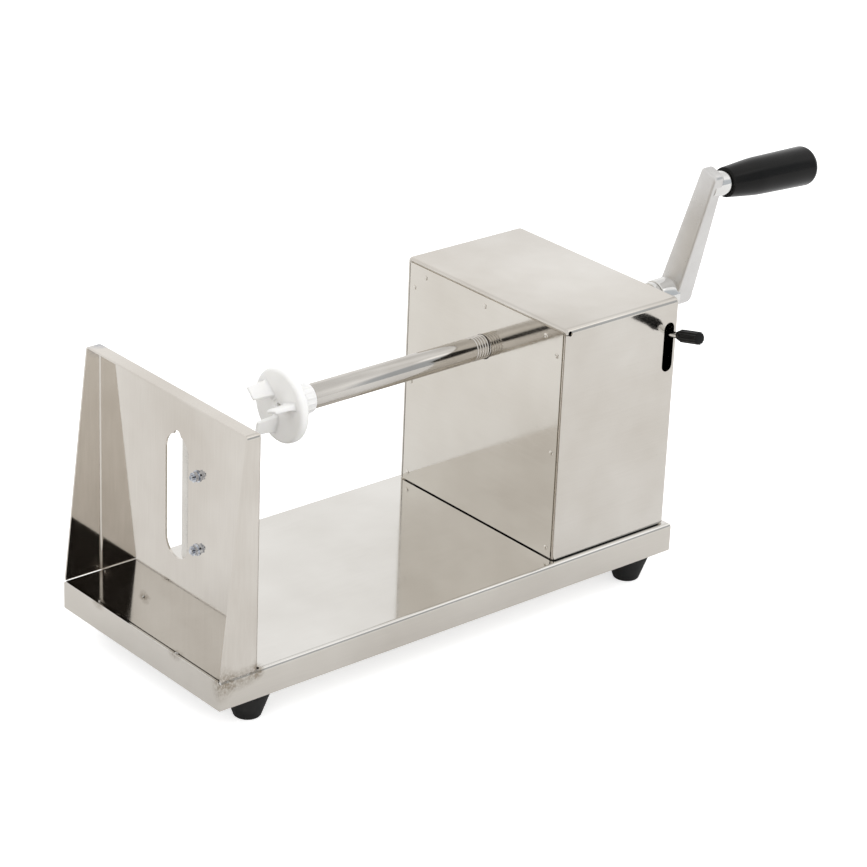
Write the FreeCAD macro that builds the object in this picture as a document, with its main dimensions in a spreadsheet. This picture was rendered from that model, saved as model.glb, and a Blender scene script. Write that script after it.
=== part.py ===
import FreeCAD, Part
import math
import os
import Sketcher
from FreeCAD import Placement, Rotation, Vector

# Hand cranked spiral cutter: a tray on four feet carries a blade stand at one end and a gear housing at
# the other. A screw tube with a toothed chuck runs through the housing and is turned by a crank.
# X runs along the tray towards the crank, Y across it, Z up. Sizes are in millimetres.

SIZES = {
    # tray
    "tray_length": 440, "tray_width": 195, "tray_height": 23, "sheet_gauge": 1.5, "tray_fold": 3,
    "lip_width": 34, "end_seam": 0.9,
    # feet
    "foot_height": 21.5, "foot_top_diameter": 33.5, "foot_base_diameter": 20, "foot_inset": 17,
    "front_foot_offset": 37.5, "rear_foot_offset": 30, "foot_recess_diameter": 12, "foot_recess_depth": 9,
    "foot_screw_diameter": 5, "foot_screw_length": 18, "foot_nut_width": 8, "foot_nut_height": 4,
    # blade stand
    "stand_face": 34, "stand_height": 184, "stand_top_depth": 12.6, "stand_foot_depth": 33.2,
    "stand_fold": 3, "slot_width": 27.6, "slot_above_axis": 1, "slot_length": 98,
    "skewer_notch_diameter": 8,
    # blade
    "blade_gauge": 1.2, "blade_reach": 6, "blade_foot_width": 25, "blade_below_axis": 3.2,
    "blade_overlap": 1.7, "blade_bevel": 4, "blade_screw_diameter": 4, "blade_screw_head": 7.6,
    "blade_screw_inset": 11.2, "blade_screw_drop": 22.2, "blade_screw_pitch": 58, "blade_nut_width": 7,
    "blade_nut_height": 3.2, "blade_washer_diameter": 9, "blade_washer_gauge": 0.8,
    # housing
    "rear_ledge": 5, "housing_length": 116, "housing_width": 185, "housing_height": 190.5,
    "housing_fold": 5, "end_fold": 3.5, "panel_inset": 4, "panel_corner": 2, "flange_width": 16,
    "relief_diameter": 4, "relief_inset": 2.6, "relief_drop": 3.2,
    "rivet_diameter": 4.2, "rivet_head": 0.8, "rivet_lip": 0.5, "rivet_side_inset": 9.5, "rivet_top_inset": 11.5,
    "rivet_top_pitch": 70, "rivet_row_pitch": 79.5, "rivet_row_top": 23.5,
    "panel_hole_clearance": 0.7,
    # lever slot in the side of the housing
    "lever_slot_width": 10.4, "lever_slot_length": 40.5, "lever_slot_above_axis": 26,
    "lever_slot_back": 9.1,
    # shaft
    "axis_below_top": 44.5, "tube_diameter": 19, "tube_wall": 1.5, "running_clearance": 0.06,
    "feed_travel": 59,
    # chuck
    "chuck_setback": 88, "chuck_diameter": 57.5, "chuck_disc": 8, "chuck_rim_round": 2.4,
    "chuck_length": 28, "chuck_hub_wall": 2.4, "chuck_rib_depth": 0.6, "chuck_ribs": 16,
    "tooth_count": 3, "tooth_height": 17, "tooth_gauge": 4, "tooth_tip_gauge": 2.6,
    "tooth_outer_radius": 21.5, "tooth_inner_radius": 8.6, "tooth_taper": 0.7, "tooth_turn": 42,
    "skewer_diameter": 5, "tube_seat": 4,
    "chuck_screw_diameter": 5, "chuck_screw_offset": 11,
    # crank
    "boss_length": 15.5, "boss_wall": 3.5, "arm_gauge": 15, "arm_tip_gauge": 9, "arm_hub_wall": 2.4,
    "arm_root_width": 22.4, "arm_tip_width": 18, "arm_beyond_spindle": 14, "arm_corner": 4.5,
    "spindle_radius": 105.8, "spindle_cant": 2.9, "spindle_seat": 3,
    "arm_angle": 18.5, "arm_round": 1.2, "arm_eye_height": 4.3, "arm_eye_diameter": 20,
    "arm_screw_diameter": 6, "arm_screw_offset": 8, "arm_cap": 2,
    "spindle_diameter": 10, "spindle_head_diameter": 14, "spindle_head_height": 4,
    "spindle_end_inset": 12,
    "grip_length": 96, "grip_small_diameter": 24, "grip_waist": 32, "grip_waist_diameter": 30.2,
    "grip_large_diameter": 32, "grip_end_round": 6, "grip_end_flat": 6.5, "grip_edge": 1.4, "grip_gap": 0.4,
    # stop ring between boss and housing
    "ring_wall": 2.5, "ring_length": 4.5, "ring_standoff": 0.7, "end_play": 0.3,
    # shaft carrier inside the housing
    "carrier_gauge": 3, "carrier_width": 64, "carrier_length": 62, "carrier_top": 26,
    "carrier_to_nut": 10.4, "bush_flange_lip": 4, "bush_flange": 3, "bush_wall": 3.5, "bush_length": 18,
    # release lever
    "pivot_standoff": 0.6, "pivot_drop": 24, "pivot_diameter": 6, "pivot_head": 10, "pivot_head_height": 1.2,
    "clip_gauge": 0.8, "clip_bore": 4.8, "lever_range": 9,
    "lever_gauge": 7, "lever_hub_radius": 9, "lever_ring_wall": 9.5, "relief_clearance": 0.5,
    "saddle_clearance": 0.12, "half_nut_length": 10, "half_nut_width": 22,
    "half_nut_depth": 9, "nut_screw_diameter": 3, "nut_screw_side": 7.5, "nut_screw_depth_below": 5,
    "nut_screw_depth": 7, "rod_diameter": 5, "rod_angle": 13, "rod_drop": 4.7,
    "rod_start": 24, "lug_root": 14, "lug_reach": 36, "lug_width": 12,
    "knob_standoff": 6.57, "knob_length": 28, "knob_diameter": 12.5, "knob_ribs": 12,
    "knob_rib_depth": 0.7, "knob_bore_depth": 14,
    "ear_gauge": 2, "ear_gap": 0.3, "bracket_depth": 40, "bracket_above_pivot": 11,
    "spring_wire": 1, "spring_diameter": 6.8, "spring_length": 22, "spring_arm": 20,
}


class Size:
    """A number read from the sheet, together with the expression that gives it."""

    def __init__(self, value, text):
        self.value = float(value)
        self.text = text

    def __float__(self):
        return self.value

    @staticmethod
    def of(thing):
        return thing if isinstance(thing, Size) else Size(thing, repr(float(thing)))

    def joined(self, other, sign, value):
        return Size(value, "(%s %s %s)" % (self.text, sign, other.text))

    def __add__(self, other):
        other = Size.of(other)
        return self.joined(other, "+", self.value + other.value)

    def __radd__(self, other):
        return Size.of(other) + self

    def __sub__(self, other):
        other = Size.of(other)
        return self.joined(other, "-", self.value - other.value)

    def __rsub__(self, other):
        return Size.of(other) - self

    def __mul__(self, other):
        other = Size.of(other)
        return self.joined(other, "*", self.value * other.value)

    def __rmul__(self, other):
        return Size.of(other) * self

    def __truediv__(self, other):
        other = Size.of(other)
        return self.joined(other, "/", self.value / other.value)

    def __neg__(self):
        return Size(-self.value, "(0 - %s)" % self.text)


doc = FreeCAD.newDocument("spiral_cutter")
sheet = doc.addObject("Spreadsheet::Sheet", "sizes")
for row, (alias, number) in enumerate(SIZES.items(), start=1):
    sheet.set("A%d" % row, alias)
    sheet.set("B%d" % row, str(number))
    sheet.setAlias("B%d" % row, alias)
doc.recompute()


def size(alias):
    return Size(sheet.get(alias), "sizes." + alias)


def count(alias):
    return int(round(float(size(alias))))


def bind(target, prop, amount):
    amount = Size.of(amount)
    setattr(target, prop, amount.value)
    target.setExpression(prop, amount.text)


# Shared positions, all derived from the sheet
gauge = size("sheet_gauge")
foot_height = size("foot_height")
tray_length = size("tray_length")
tray_width = size("tray_width")
tray_top = foot_height + size("tray_height")
stand_back = size("stand_face")
stand_top = tray_top + size("stand_height")
housing_rear = tray_length - size("rear_ledge")
housing_front = housing_rear - size("housing_length")
housing_side = size("housing_width") / 2
housing_top = tray_top + size("housing_height")
axis_z = housing_top - size("axis_below_top")
tube_radius = size("tube_diameter") / 2
running = size("running_clearance")
ring_start = housing_rear + size("feed_travel") + size("ring_standoff")
ring_end = ring_start + size("ring_length")
boss_start = ring_end + size("end_play")
arm_start = boss_start + size("boss_length")
arm_end = arm_start + size("arm_gauge")
arm_length = size("spindle_radius") + size("arm_beyond_spindle")
cant = math.radians(float(size("spindle_cant")))
eye_end = size("arm_gauge") + size("arm_eye_height")
grip_start = eye_end + size("grip_gap")
chuck_face = stand_back + size("chuck_setback")
chuck_end = chuck_face + size("chuck_length")
chuck_hub = tube_radius + size("chuck_hub_wall")
boss_radius = tube_radius + size("boss_wall")
ring_radius = tube_radius + size("ring_wall")
bush_radius = tube_radius + size("bush_wall")
slot_top = axis_z + size("slot_above_axis")
slot_low = slot_top - size("slot_length")

arm_turn = math.radians(float(size("arm_angle")))


def on_spindle(out):
    """The point on the spindle's line at a distance from the arm's inner face."""
    radius = float(size("spindle_radius")) - out * math.sin(cant)
    return Vector(float(arm_start) + out * math.cos(cant), -radius * math.sin(arm_turn),
                  float(axis_z) + radius * math.cos(arm_turn))


SPINDLE_TURN = (Rotation(Vector(1, 0, 0), math.degrees(arm_turn))
                * Rotation(Vector(0, 1, 0), math.degrees(cant)))
lever_plane = housing_rear - size("lever_slot_back")
carrier_end = (lever_plane - size("lever_gauge") / 2 - size("half_nut_length")
               - size("carrier_to_nut"))
carrier_start = carrier_end - size("carrier_length")
pivot_y = (housing_side - size("flange_width") - size("pivot_standoff") - size("ear_gauge") - 0.5
           - size("lever_hub_radius"))
pivot_z = axis_z - size("pivot_drop")
rod_turn = math.radians(float(size("rod_angle")))

knob_start = housing_side / math.cos(rod_turn) + size("knob_standoff")
knob_tip = float(knob_start + size("knob_length"))
knob_rim = float(size("knob_diameter")) / 2 - 1.2
knob_out = knob_tip * math.cos(rod_turn) + knob_rim * math.sin(rod_turn)
grip_end = float(grip_start + size("grip_length"))
end_radius = float(size("grip_large_diameter")) / 2 - float(size("grip_end_flat"))
reach = on_spindle(grip_end).x + end_radius * math.sin(cant)

# The origin is under the middle of the whole machine, on the table
middle_x = reach / 2
middle_y = (float(tray_width) / 2 - knob_out) / 2
ORIGIN = Vector(-middle_x, -middle_y, 0)

parts = []


def keep(obj, label):
    """Register a finished piece under its node name and set it in the common frame."""
    obj.Label = label
    place = obj.Placement
    obj.Placement = Placement(place.Base + ORIGIN, place.Rotation)
    parts.append(obj)
    return obj


def new_body(name):
    return doc.addObject("PartDesign::Body", name + "_body")


def plane_of(body, role):
    return [f for f in body.Origin.OriginFeatures if f.Role == role][0]


def new_sketch(body, name, role, offset=0.0):
    sketch = body.newObject("Sketcher::SketchObject", name)
    sketch.AttachmentSupport = [(plane_of(body, role), "")]
    sketch.MapMode = "FlatFace"
    offset = Size.of(offset)
    sketch.AttachmentOffset = Placement(Vector(0, 0, offset.value), Rotation())
    sketch.setExpression("AttachmentOffset.Base.z", offset.text)
    return sketch


def canted_sketch(body, name, out):
    """A sketch square to the grip's spindle, which leans a little towards the shaft."""
    sketch = body.newObject("Sketcher::SketchObject", name)
    sketch.AttachmentSupport = [(plane_of(body, "YZ_Plane"), "")]
    sketch.MapMode = "FlatFace"
    radius = size("spindle_radius") - out * math.sin(cant)
    across = arm_start + out * math.cos(cant)
    turn = Rotation(Vector(1, 0, 0), math.degrees(cant))
    sketch.AttachmentOffset = Placement(Vector(0, radius.value, across.value), turn)
    sketch.setExpression("AttachmentOffset.Base.y", radius.text)
    sketch.setExpression("AttachmentOffset.Base.z", across.text)
    return sketch


def fix(sketch, geo, point, across, up):
    """Tie one sketch point to its two coordinates."""
    for kind, amount, line in (("DistanceX", across, -2), ("DistanceY", up, -1)):
        amount = Size.of(amount)
        if abs(amount.value) < 1e-9:
            sketch.addConstraint(Sketcher.Constraint("PointOnObject", geo, point, line))
        else:
            number = sketch.addConstraint(
                Sketcher.Constraint(kind, -1, 1, geo, point, amount.value))
            sketch.setExpression("Constraints[%d]" % number, amount.text)


def add_polygon(sketch, corners):
    first = sketch.GeometryCount
    total = len(corners)
    points = [Vector(float(x), float(y), 0) for x, y in corners]
    for i in range(total):
        sketch.addGeometry(Part.LineSegment(points[i], points[(i + 1) % total]), False)
    for i in range(total):
        sketch.addConstraint(
            Sketcher.Constraint("Coincident", first + i, 2, first + (i + 1) % total, 1))
    for i, (x, y) in enumerate(corners):
        fix(sketch, first + i, 1, x, y)


def add_rectangle(sketch, left, right, low, high):
    add_polygon(sketch, [(left, low), (right, low), (right, high), (left, high)])


def add_circle(sketch, across, up, diameter):
    diameter = Size.of(diameter)
    number = sketch.addGeometry(
        Part.Circle(Vector(float(across), float(up), 0), Vector(0, 0, 1), diameter.value / 2), False)
    fix(sketch, number, 3, across, up)
    tie = sketch.addConstraint(Sketcher.Constraint("Diameter", number, diameter.value))
    sketch.setExpression("Constraints[%d]" % tie, diameter.text)
    return number


def add_slot(sketch, across, low, high, width):
    """An upright slot with round ends; low and high are the centres of the ends."""
    width = Size.of(width)
    half = width.value / 2
    x, z1, z2 = float(across), float(low), float(high)
    first = sketch.GeometryCount
    sketch.addGeometry(Part.ArcOfCircle(
        Part.Circle(Vector(x, z2, 0), Vector(0, 0, 1), half), 0, math.pi), False)
    sketch.addGeometry(Part.LineSegment(Vector(x - half, z2, 0), Vector(x - half, z1, 0)), False)
    sketch.addGeometry(Part.ArcOfCircle(
        Part.Circle(Vector(x, z1, 0), Vector(0, 0, 1), half), math.pi, 2 * math.pi), False)
    sketch.addGeometry(Part.LineSegment(Vector(x + half, z1, 0), Vector(x + half, z2, 0)), False)
    for a, pa, b, pb in ((0, 2, 1, 1), (1, 2, 2, 1), (2, 2, 3, 1), (3, 2, 0, 1)):
        sketch.addConstraint(Sketcher.Constraint("Tangent", first + a, pa, first + b, pb))
    fix(sketch, first, 3, across, high)
    fix(sketch, first + 2, 3, across, low)
    tie = sketch.addConstraint(Sketcher.Constraint("Radius", first, half))
    sketch.setExpression("Constraints[%d]" % tie, (width / 2).text)


def settled(feature):
    """Recompute and stop at once if the new feature failed."""
    doc.recompute()
    failed = "Invalid" in feature.State or "Error" in feature.State
    if failed or feature.Shape.isNull() or not feature.Shape.isValid():
        raise RuntimeError("%s failed: %s" % (feature.Name, feature.State))
    return feature


def pad(body, sketch, length, name, centred=False, back=False):
    feature = body.newObject("PartDesign::Pad", name)
    feature.Profile = sketch
    bind(feature, "Length", length)
    if centred:
        feature.Midplane = True
    feature.Reversed = back
    return settled(feature)


def pocket(body, sketch, length, name, back=False, centred=False):
    """Cut a sketch into the body, and stop if nothing was cut."""
    before = body.Shape.Volume
    feature = body.newObject("PartDesign::Pocket", name)
    feature.Profile = sketch
    bind(feature, "Length", length)
    if centred:
        feature.Midplane = True
    feature.Reversed = back
    settled(feature)
    if before - body.Shape.Volume < 1e-6:
        raise RuntimeError(name + " cuts nothing")
    return feature


def revolve(body, sketch, name, axis="X_Axis"):
    feature = body.newObject("PartDesign::Revolution", name)
    feature.Profile = sketch
    feature.ReferenceAxis = (plane_of(body, axis), [""])
    feature.Angle = 360
    return settled(feature)


def edges_where(shape, test):
    names = []
    for number, edge in enumerate(shape.Edges, start=1):
        if test(edge):
            names.append("Edge%d" % number)
    return names


def dress(body, kind, name, base, names, prop, amount):
    """Fillet or chamfer the named edges of a feature."""
    if not names:
        raise RuntimeError(name + " finds no edge")
    feature = body.newObject("PartDesign::" + kind, name)
    feature.Base = (base, names)
    bind(feature, prop, amount)
    return settled(feature)


def along(edge, axis):
    """True for a straight edge that runs along one axis."""
    if edge.Curve.TypeId != "Part::GeomLine":
        return False
    step = edge.Vertexes[-1].Point - edge.Vertexes[0].Point
    step.normalize()
    return abs(abs(getattr(step, axis)) - 1) < 1e-6


def middle(edge):
    return edge.valueAt((edge.FirstParameter + edge.LastParameter) / 2)


def close(a, b):
    return abs(float(a) - float(b)) < 1e-3


def primitive(kind, name, base, turn=None, **amounts):
    """A Part primitive with every size tied to the sheet."""
    obj = doc.addObject("Part::" + kind, name)
    for prop, amount in amounts.items():
        bind(obj, prop, amount)
    obj.Placement = Placement(Vector(*[float(b) for b in base]), turn or Rotation())
    return obj


ALONG_X = Rotation(Vector(0, 1, 0), 90)
BACK_X = Rotation(Vector(0, 1, 0), -90)


def combine(kind, name, shapes):
    obj = doc.addObject("Part::" + kind, name)
    if kind == "Cut":
        obj.Base, obj.Tool = shapes
    elif kind == "Compound":
        obj.Links = shapes
    else:
        obj.Shapes = shapes
    doc.recompute()
    return obj


# Tray: one folded sheet with skirts and two inward lips that carry the feet
def make_tray():
    body = new_body("tray")
    outline = new_sketch(body, "tray_outline", "XY_Plane", foot_height)
    add_rectangle(outline, gauge, tray_length, -(tray_width / 2), tray_width / 2)
    block = pad(body, outline, size("tray_height"), "tray_block")
    top = float(tray_top)
    rim = edges_where(block.Shape, lambda e: close(middle(e).z, top) and not close(middle(e).x, gauge))
    rounded = dress(body, "Fillet", "tray_folds", block, rim, "Radius", size("tray_fold"))
    upright = edges_where(rounded.Shape, lambda e: along(e, "z") and close(middle(e).x, tray_length))
    dress(body, "Fillet", "tray_rear_corners", rounded, upright, "Radius", size("tray_fold") / 2)
    inside = tray_width / 2 - gauge
    hollow = new_sketch(body, "tray_hollow", "YZ_Plane", gauge)
    add_rectangle(hollow, -inside, inside, foot_height + gauge, tray_top - gauge)
    pocket(body, hollow, tray_length - gauge * 2, "tray_inside", back=True)
    mouth = new_sketch(body, "tray_mouth", "XY_Plane", foot_height - 1)
    lip = tray_width / 2 - size("lip_width")
    add_rectangle(mouth, gauge, tray_length - gauge, -lip, lip)
    pocket(body, mouth, gauge + 2, "tray_underside", back=True)
    seam = new_sketch(body, "tray_seam", "XY_Plane", tray_top + 1)
    add_rectangle(seam, gauge - 1, gauge + size("end_seam"), -inside, inside)
    pocket(body, seam, gauge + 2, "tray_end_seam")
    holes = new_sketch(body, "foot_holes", "XY_Plane", foot_height - 1)
    for x, y in foot_places():
        add_circle(holes, x, y, size("foot_screw_diameter") + 0.4)
    pocket(body, holes, gauge + 2, "tray_foot_holes", back=True)
    keep(body, "base_tray")


def foot_places():
    side = tray_width / 2 - size("foot_inset")
    front = size("front_foot_offset")
    rear = tray_length - size("rear_foot_offset")
    return [(front, -side), (front, side), (rear, -side), (rear, side)]


# End skirt: a separate strip that closes the tray under the blade stand, tacked along an open seam
def make_end_skirt():
    body = new_body("end_skirt")
    outline = new_sketch(body, "end_skirt_outline", "YZ_Plane")
    half = tray_width / 2
    add_rectangle(outline, -half, half, foot_height, tray_top - 0.4)
    block = pad(body, outline, gauge, "end_skirt_sheet")
    corners = edges_where(block.Shape, lambda e: along(e, "x") and close(middle(e).z, tray_top - 0.4))
    dress(body, "Fillet", "end_skirt_corners", block, corners, "Radius", size("tray_fold") - 0.4)
    keep(body, "end_skirt")


# Feet: tapered rubber, each with a recess for its screw
def make_feet():
    names = ("foot_front_near", "foot_front_far", "foot_rear_near", "foot_rear_far")
    for name, (x, y) in zip(names, foot_places()):
        body = new_body(name)
        top = size("foot_top_diameter") / 2
        base = size("foot_base_diameter") / 2
        recess = size("foot_recess_diameter") / 2
        bore = size("foot_screw_diameter") / 2 + 0.1
        depth = size("foot_recess_depth")
        profile = new_sketch(body, name + "_profile", "XZ_Plane")
        add_polygon(profile, [
            (recess, 0), (base, 0), (top, foot_height - 2), (top, foot_height),
            (bore, foot_height), (bore, depth), (recess, depth)])
        revolve(body, profile, name + "_cone", "Z_Axis")
        body.Placement = Placement(Vector(float(x), float(y), 0), Rotation())
        keep(body, name)


def make_foot_screws():
    shank = size("foot_screw_diameter")
    depth = size("foot_recess_depth")
    screws, nuts = [], []
    for number, (x, y) in enumerate(foot_places(), start=1):
        head = primitive("Cylinder", "foot_screw_head%d" % number, (x, y, depth - 3.2),
                         Radius=shank * 0.95, Height=3.2)
        stem = primitive("Cylinder", "foot_screw_stem%d" % number, (x, y, depth - 0.5),
                         Radius=shank / 2, Height=size("foot_screw_length") + 0.5)
        screws.append(combine("MultiFuse", "foot_screw%d" % number, [head, stem]))
        hexagon = doc.addObject("Part::Prism", "foot_nut_hex%d" % number)
        hexagon.Polygon = 6
        bind(hexagon, "Circumradius", size("foot_nut_width") / 2 / math.cos(math.pi / 6))
        bind(hexagon, "Height", size("foot_nut_height"))
        hexagon.Placement = Placement(Vector(float(x), float(y), float(foot_height + gauge)), Rotation())
        bore = primitive("Cylinder", "foot_nut_bore%d" % number, (x, y, foot_height),
                         Radius=shank / 2, Height=size("foot_nut_height") + gauge + 1)
        nuts.append(combine("Cut", "foot_nut%d" % number, [hexagon, bore]))
    keep(combine("Compound", "foot_screw_set", screws), "foot_screws")
    keep(combine("Compound", "foot_nut_set", nuts), "foot_nuts")


# Blade stand: an upright sheet folded forward along its top and both sides, with tapering side flanges
def make_stand():
    body = new_body("stand")
    side = new_sketch(body, "stand_side", "XZ_Plane")
    foot = stand_back - size("stand_foot_depth")
    top = stand_back - size("stand_top_depth")
    add_polygon(side, [(foot, tray_top), (stand_back, tray_top), (stand_back, stand_top),
                       (top, stand_top), (foot, tray_top + 3)])
    block = pad(body, side, tray_width, "stand_block", centred=True)
    folds = edges_where(block.Shape, lambda e: not close(middle(e).z, tray_top)
                        and (close(middle(e).x, stand_back)
                             or (along(e, "x") and close(middle(e).z, stand_top))))
    dress(body, "Fillet", "stand_folds", block, folds, "Radius", size("stand_fold"))
    hollow = new_sketch(body, "stand_hollow", "YZ_Plane", -1)
    inside = tray_width / 2 - gauge
    add_rectangle(hollow, -inside, inside, tray_top - 1, stand_top - gauge)
    cut = pocket(body, hollow, stand_back - gauge + 1, "stand_inside", back=True)
    inner = edges_where(cut.Shape, lambda e: close(middle(e).x, stand_back - gauge)
                        and (along(e, "z") or along(e, "y"))
                        and not close(middle(e).z, tray_top)
                        and (close(abs(middle(e).y), inside) or close(middle(e).z, stand_top - gauge)))
    dress(body, "Fillet", "stand_inner_folds", cut, inner, "Radius", size("stand_fold") - gauge)
    openings = new_sketch(body, "stand_openings", "YZ_Plane", stand_back - gauge * 2)
    width = size("slot_width")
    add_slot(openings, 0, slot_low + width / 2, slot_top - width / 2, width)
    pocket(body, openings, gauge * 3, "blade_slot", back=True)
    notch = new_sketch(body, "skewer_hole", "YZ_Plane", stand_back - gauge * 2)
    add_circle(notch, 0, axis_z, size("skewer_notch_diameter"))
    pocket(body, notch, gauge * 3, "skewer_notch", back=True)
    holes = new_sketch(body, "blade_screw_holes", "YZ_Plane", stand_back - gauge * 2)
    for y, z in blade_screw_places():
        add_circle(holes, y, z, size("blade_screw_diameter") + 0.3)
    pocket(body, holes, gauge * 3, "blade_holes", back=True)
    keep(body, "blade_stand")


def blade_screw_places():
    high = axis_z - size("blade_screw_drop")
    side = -(size("slot_width") / 2 + size("blade_screw_inset"))
    return [(side, high), (side, high - size("blade_screw_pitch"))]


# Blade: a spring steel strip whose cutting edge stands one slice proud of the stand, on the shaft axis
def make_blade():
    body = new_body("blade")
    thick = size("blade_gauge")
    reach = size("blade_reach")
    slot_side = size("slot_width") / 2
    foot_end = -(slot_side + size("blade_foot_width"))
    bend = -slot_side
    bevel = size("blade_bevel")
    top = axis_z - size("blade_below_axis")
    section = new_sketch(body, "blade_section", "XY_Plane", top)
    face = stand_back
    add_polygon(section, [
        (face, foot_end), (face, bend), (face + reach, -0.05), (face + reach + 0.25, 0),
        (face + reach - 0.3, -bevel), (face + thick, bend - 0.5), (face + thick, foot_end)])
    pad(body, section, top - slot_low + size("blade_overlap"), "blade_strip", back=True)
    holes = new_sketch(body, "blade_holes_sketch", "YZ_Plane", face - 1)
    for y, z in blade_screw_places():
        add_circle(holes, y, z, size("blade_screw_diameter") + 0.3)
    pocket(body, holes, thick + 2, "blade_bores", back=True)
    keep(body, "cutting_blade")


def make_blade_fasteners():
    shank = size("blade_screw_diameter")
    head = size("blade_screw_head")
    outside = stand_back + size("blade_gauge")
    washer_face = stand_back - gauge - size("blade_washer_gauge")
    nut_face = washer_face - size("blade_nut_height")
    screws, washers, nuts = [], [], []
    for number, (y, z) in enumerate(blade_screw_places(), start=1):
        start = nut_face - 2
        stem = primitive("Cylinder", "blade_stem%d" % number, (start, y, z), ALONG_X,
                         Radius=shank / 2, Height=outside - start)
        dome = primitive("Cone", "blade_head%d" % number, (outside, y, z), ALONG_X,
                         Radius1=head / 2, Radius2=head / 3, Height=1.4)
        screws.append(combine("MultiFuse", "blade_screw%d" % number, [stem, dome]))
        disc = primitive("Cylinder", "blade_washer_disc%d" % number, (washer_face, y, z), ALONG_X,
                         Radius=size("blade_washer_diameter") / 2, Height=size("blade_washer_gauge"))
        bore = primitive("Cylinder", "blade_washer_bore%d" % number, (washer_face - 1, y, z), ALONG_X,
                         Radius=shank / 2 + 0.15, Height=size("blade_washer_gauge") + 2)
        washers.append(combine("Cut", "blade_washer%d" % number, [disc, bore]))
        hexagon = doc.addObject("Part::Prism", "blade_nut_hex%d" % number)
        hexagon.Polygon = 6
        bind(hexagon, "Circumradius", size("blade_nut_width") / 2 / math.cos(math.pi / 6))
        bind(hexagon, "Height", size("blade_nut_height"))
        hexagon.Placement = Placement(Vector(float(nut_face), float(y), float(z)), ALONG_X)
        bore = primitive("Cylinder", "blade_nut_bore%d" % number, (nut_face - 1, y, z), ALONG_X,
                         Radius=shank / 2, Height=size("blade_nut_height") + 2)
        nuts.append(combine("Cut", "blade_nut%d" % number, [hexagon, bore]))
    keep(combine("Compound", "blade_screw_set", screws), "blade_screws")
    keep(combine("Compound", "blade_washer_set", washers), "blade_washers")
    keep(combine("Compound", "blade_nut_set", nuts), "blade_nuts")


# Housing: a folded cover with its top and sides in one sheet, flanged inward at both ends and at the floor
def make_housing():
    body = new_body("housing")
    front = housing_front + gauge
    length = size("housing_length") - gauge * 2
    outline = new_sketch(body, "housing_outline", "YZ_Plane", front)
    add_rectangle(outline, -housing_side, housing_side, tray_top, housing_top)
    block = pad(body, outline, length, "housing_block")
    folds = edges_where(block.Shape, lambda e: along(e, "x") and close(middle(e).z, housing_top))
    dress(body, "Fillet", "housing_folds", block, folds, "Radius", size("housing_fold"))
    inside = housing_side - gauge
    cavity = new_sketch(body, "housing_cavity", "YZ_Plane", front + gauge)
    add_rectangle(cavity, -inside, inside, tray_top + gauge, housing_top - gauge)
    cut = pocket(body, cavity, length - gauge * 2, "housing_inside", back=True)
    folds = edges_where(cut.Shape, lambda e: along(e, "x")
                        and close(middle(e).z, housing_top - gauge))
    inner_fold = size("housing_fold") - gauge
    hollow = dress(body, "Fillet", "housing_inner_folds", cut, folds, "Radius", inner_fold)
    ends = edges_where(hollow.Shape, lambda e: close(e.BoundBox.XLength, 0)
                       and (close(middle(e).x, front) or close(middle(e).x, front + length))
                       and not close(middle(e).z, tray_top))
    dress(body, "Fillet", "housing_end_folds", hollow, ends, "Radius", size("end_fold"))
    window = new_sketch(body, "housing_window", "YZ_Plane", front - 1)
    edge = housing_side - size("flange_width")
    add_rectangle(window, -edge, edge, tray_top - 1, housing_top - size("flange_width"))
    pocket(body, window, length + 2, "housing_ends", back=True)
    slot = new_sketch(body, "lever_slot_sketch", "XZ_Plane", housing_side - gauge * 2)
    width = size("lever_slot_width")
    high = axis_z + size("lever_slot_above_axis")
    add_slot(slot, housing_rear - size("lever_slot_back"),
             high - size("lever_slot_length") + width / 2, high - width / 2, width)
    pocket(body, slot, gauge * 4, "lever_slot", back=True)
    for side in (1, -1):
        relief = new_sketch(body, "corner_relief%d" % (side + 1), "XZ_Plane", (housing_side + 1) * side)
        for x in (front + size("relief_inset"), front + length - size("relief_inset")):
            add_circle(relief, x, housing_top - size("relief_drop"), size("relief_diameter"))
        pocket(body, relief, size("housing_fold"), "corner_reliefs%d" % (side + 1), back=side < 0)
    keep(body, "housing_shell")


def rivet_places():
    """Rivet centres on an end panel: one row under the top fold and one down each side."""
    top = housing_top - size("rivet_top_inset")
    side = housing_side - size("rivet_side_inset")
    first = housing_top - size("rivet_row_top")
    places = [(size("rivet_top_pitch") * k, top) for k in (-1, 0, 1)]
    for sign in (-1, 1):
        places += [(side * sign, first - size("rivet_row_pitch") * k) for k in (0, 1, 2)]
    return places


# End panels: flat sheets riveted to the flanges, with a clearance hole for the tube
def make_panel(name, label, start):
    body = new_body(name)
    outline = new_sketch(body, name + "_outline", "YZ_Plane", start)
    inset = size("panel_inset")
    half = housing_side - inset
    add_rectangle(outline, -half, half, tray_top + 0.3, housing_top - inset)
    block = pad(body, outline, gauge, name + "_sheet")
    corners = edges_where(block.Shape, lambda e: along(e, "x") and close(middle(e).z, housing_top - inset))
    dress(body, "Fillet", name + "_corners", block, corners, "Radius", size("panel_corner"))
    holes = new_sketch(body, name + "_holes", "YZ_Plane", start - 1)
    add_circle(holes, 0, axis_z, (tube_radius + size("panel_hole_clearance")) * 2)
    for y, z in rivet_places():
        add_polygon(holes, octagon(y, z, size("rivet_diameter") / 2 - size("rivet_lip")))
    pocket(body, holes, gauge + 2, name + "_bores", back=True)
    keep(body, label)


def octagon(y, z, radius):
    """Corners of a rivet's outline, plain so that the many rivets stay light."""
    turns = [math.radians(45 * k + 22.5) for k in range(8)]
    return [(y + radius * math.cos(turn), z + radius * math.sin(turn)) for turn in turns]


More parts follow.
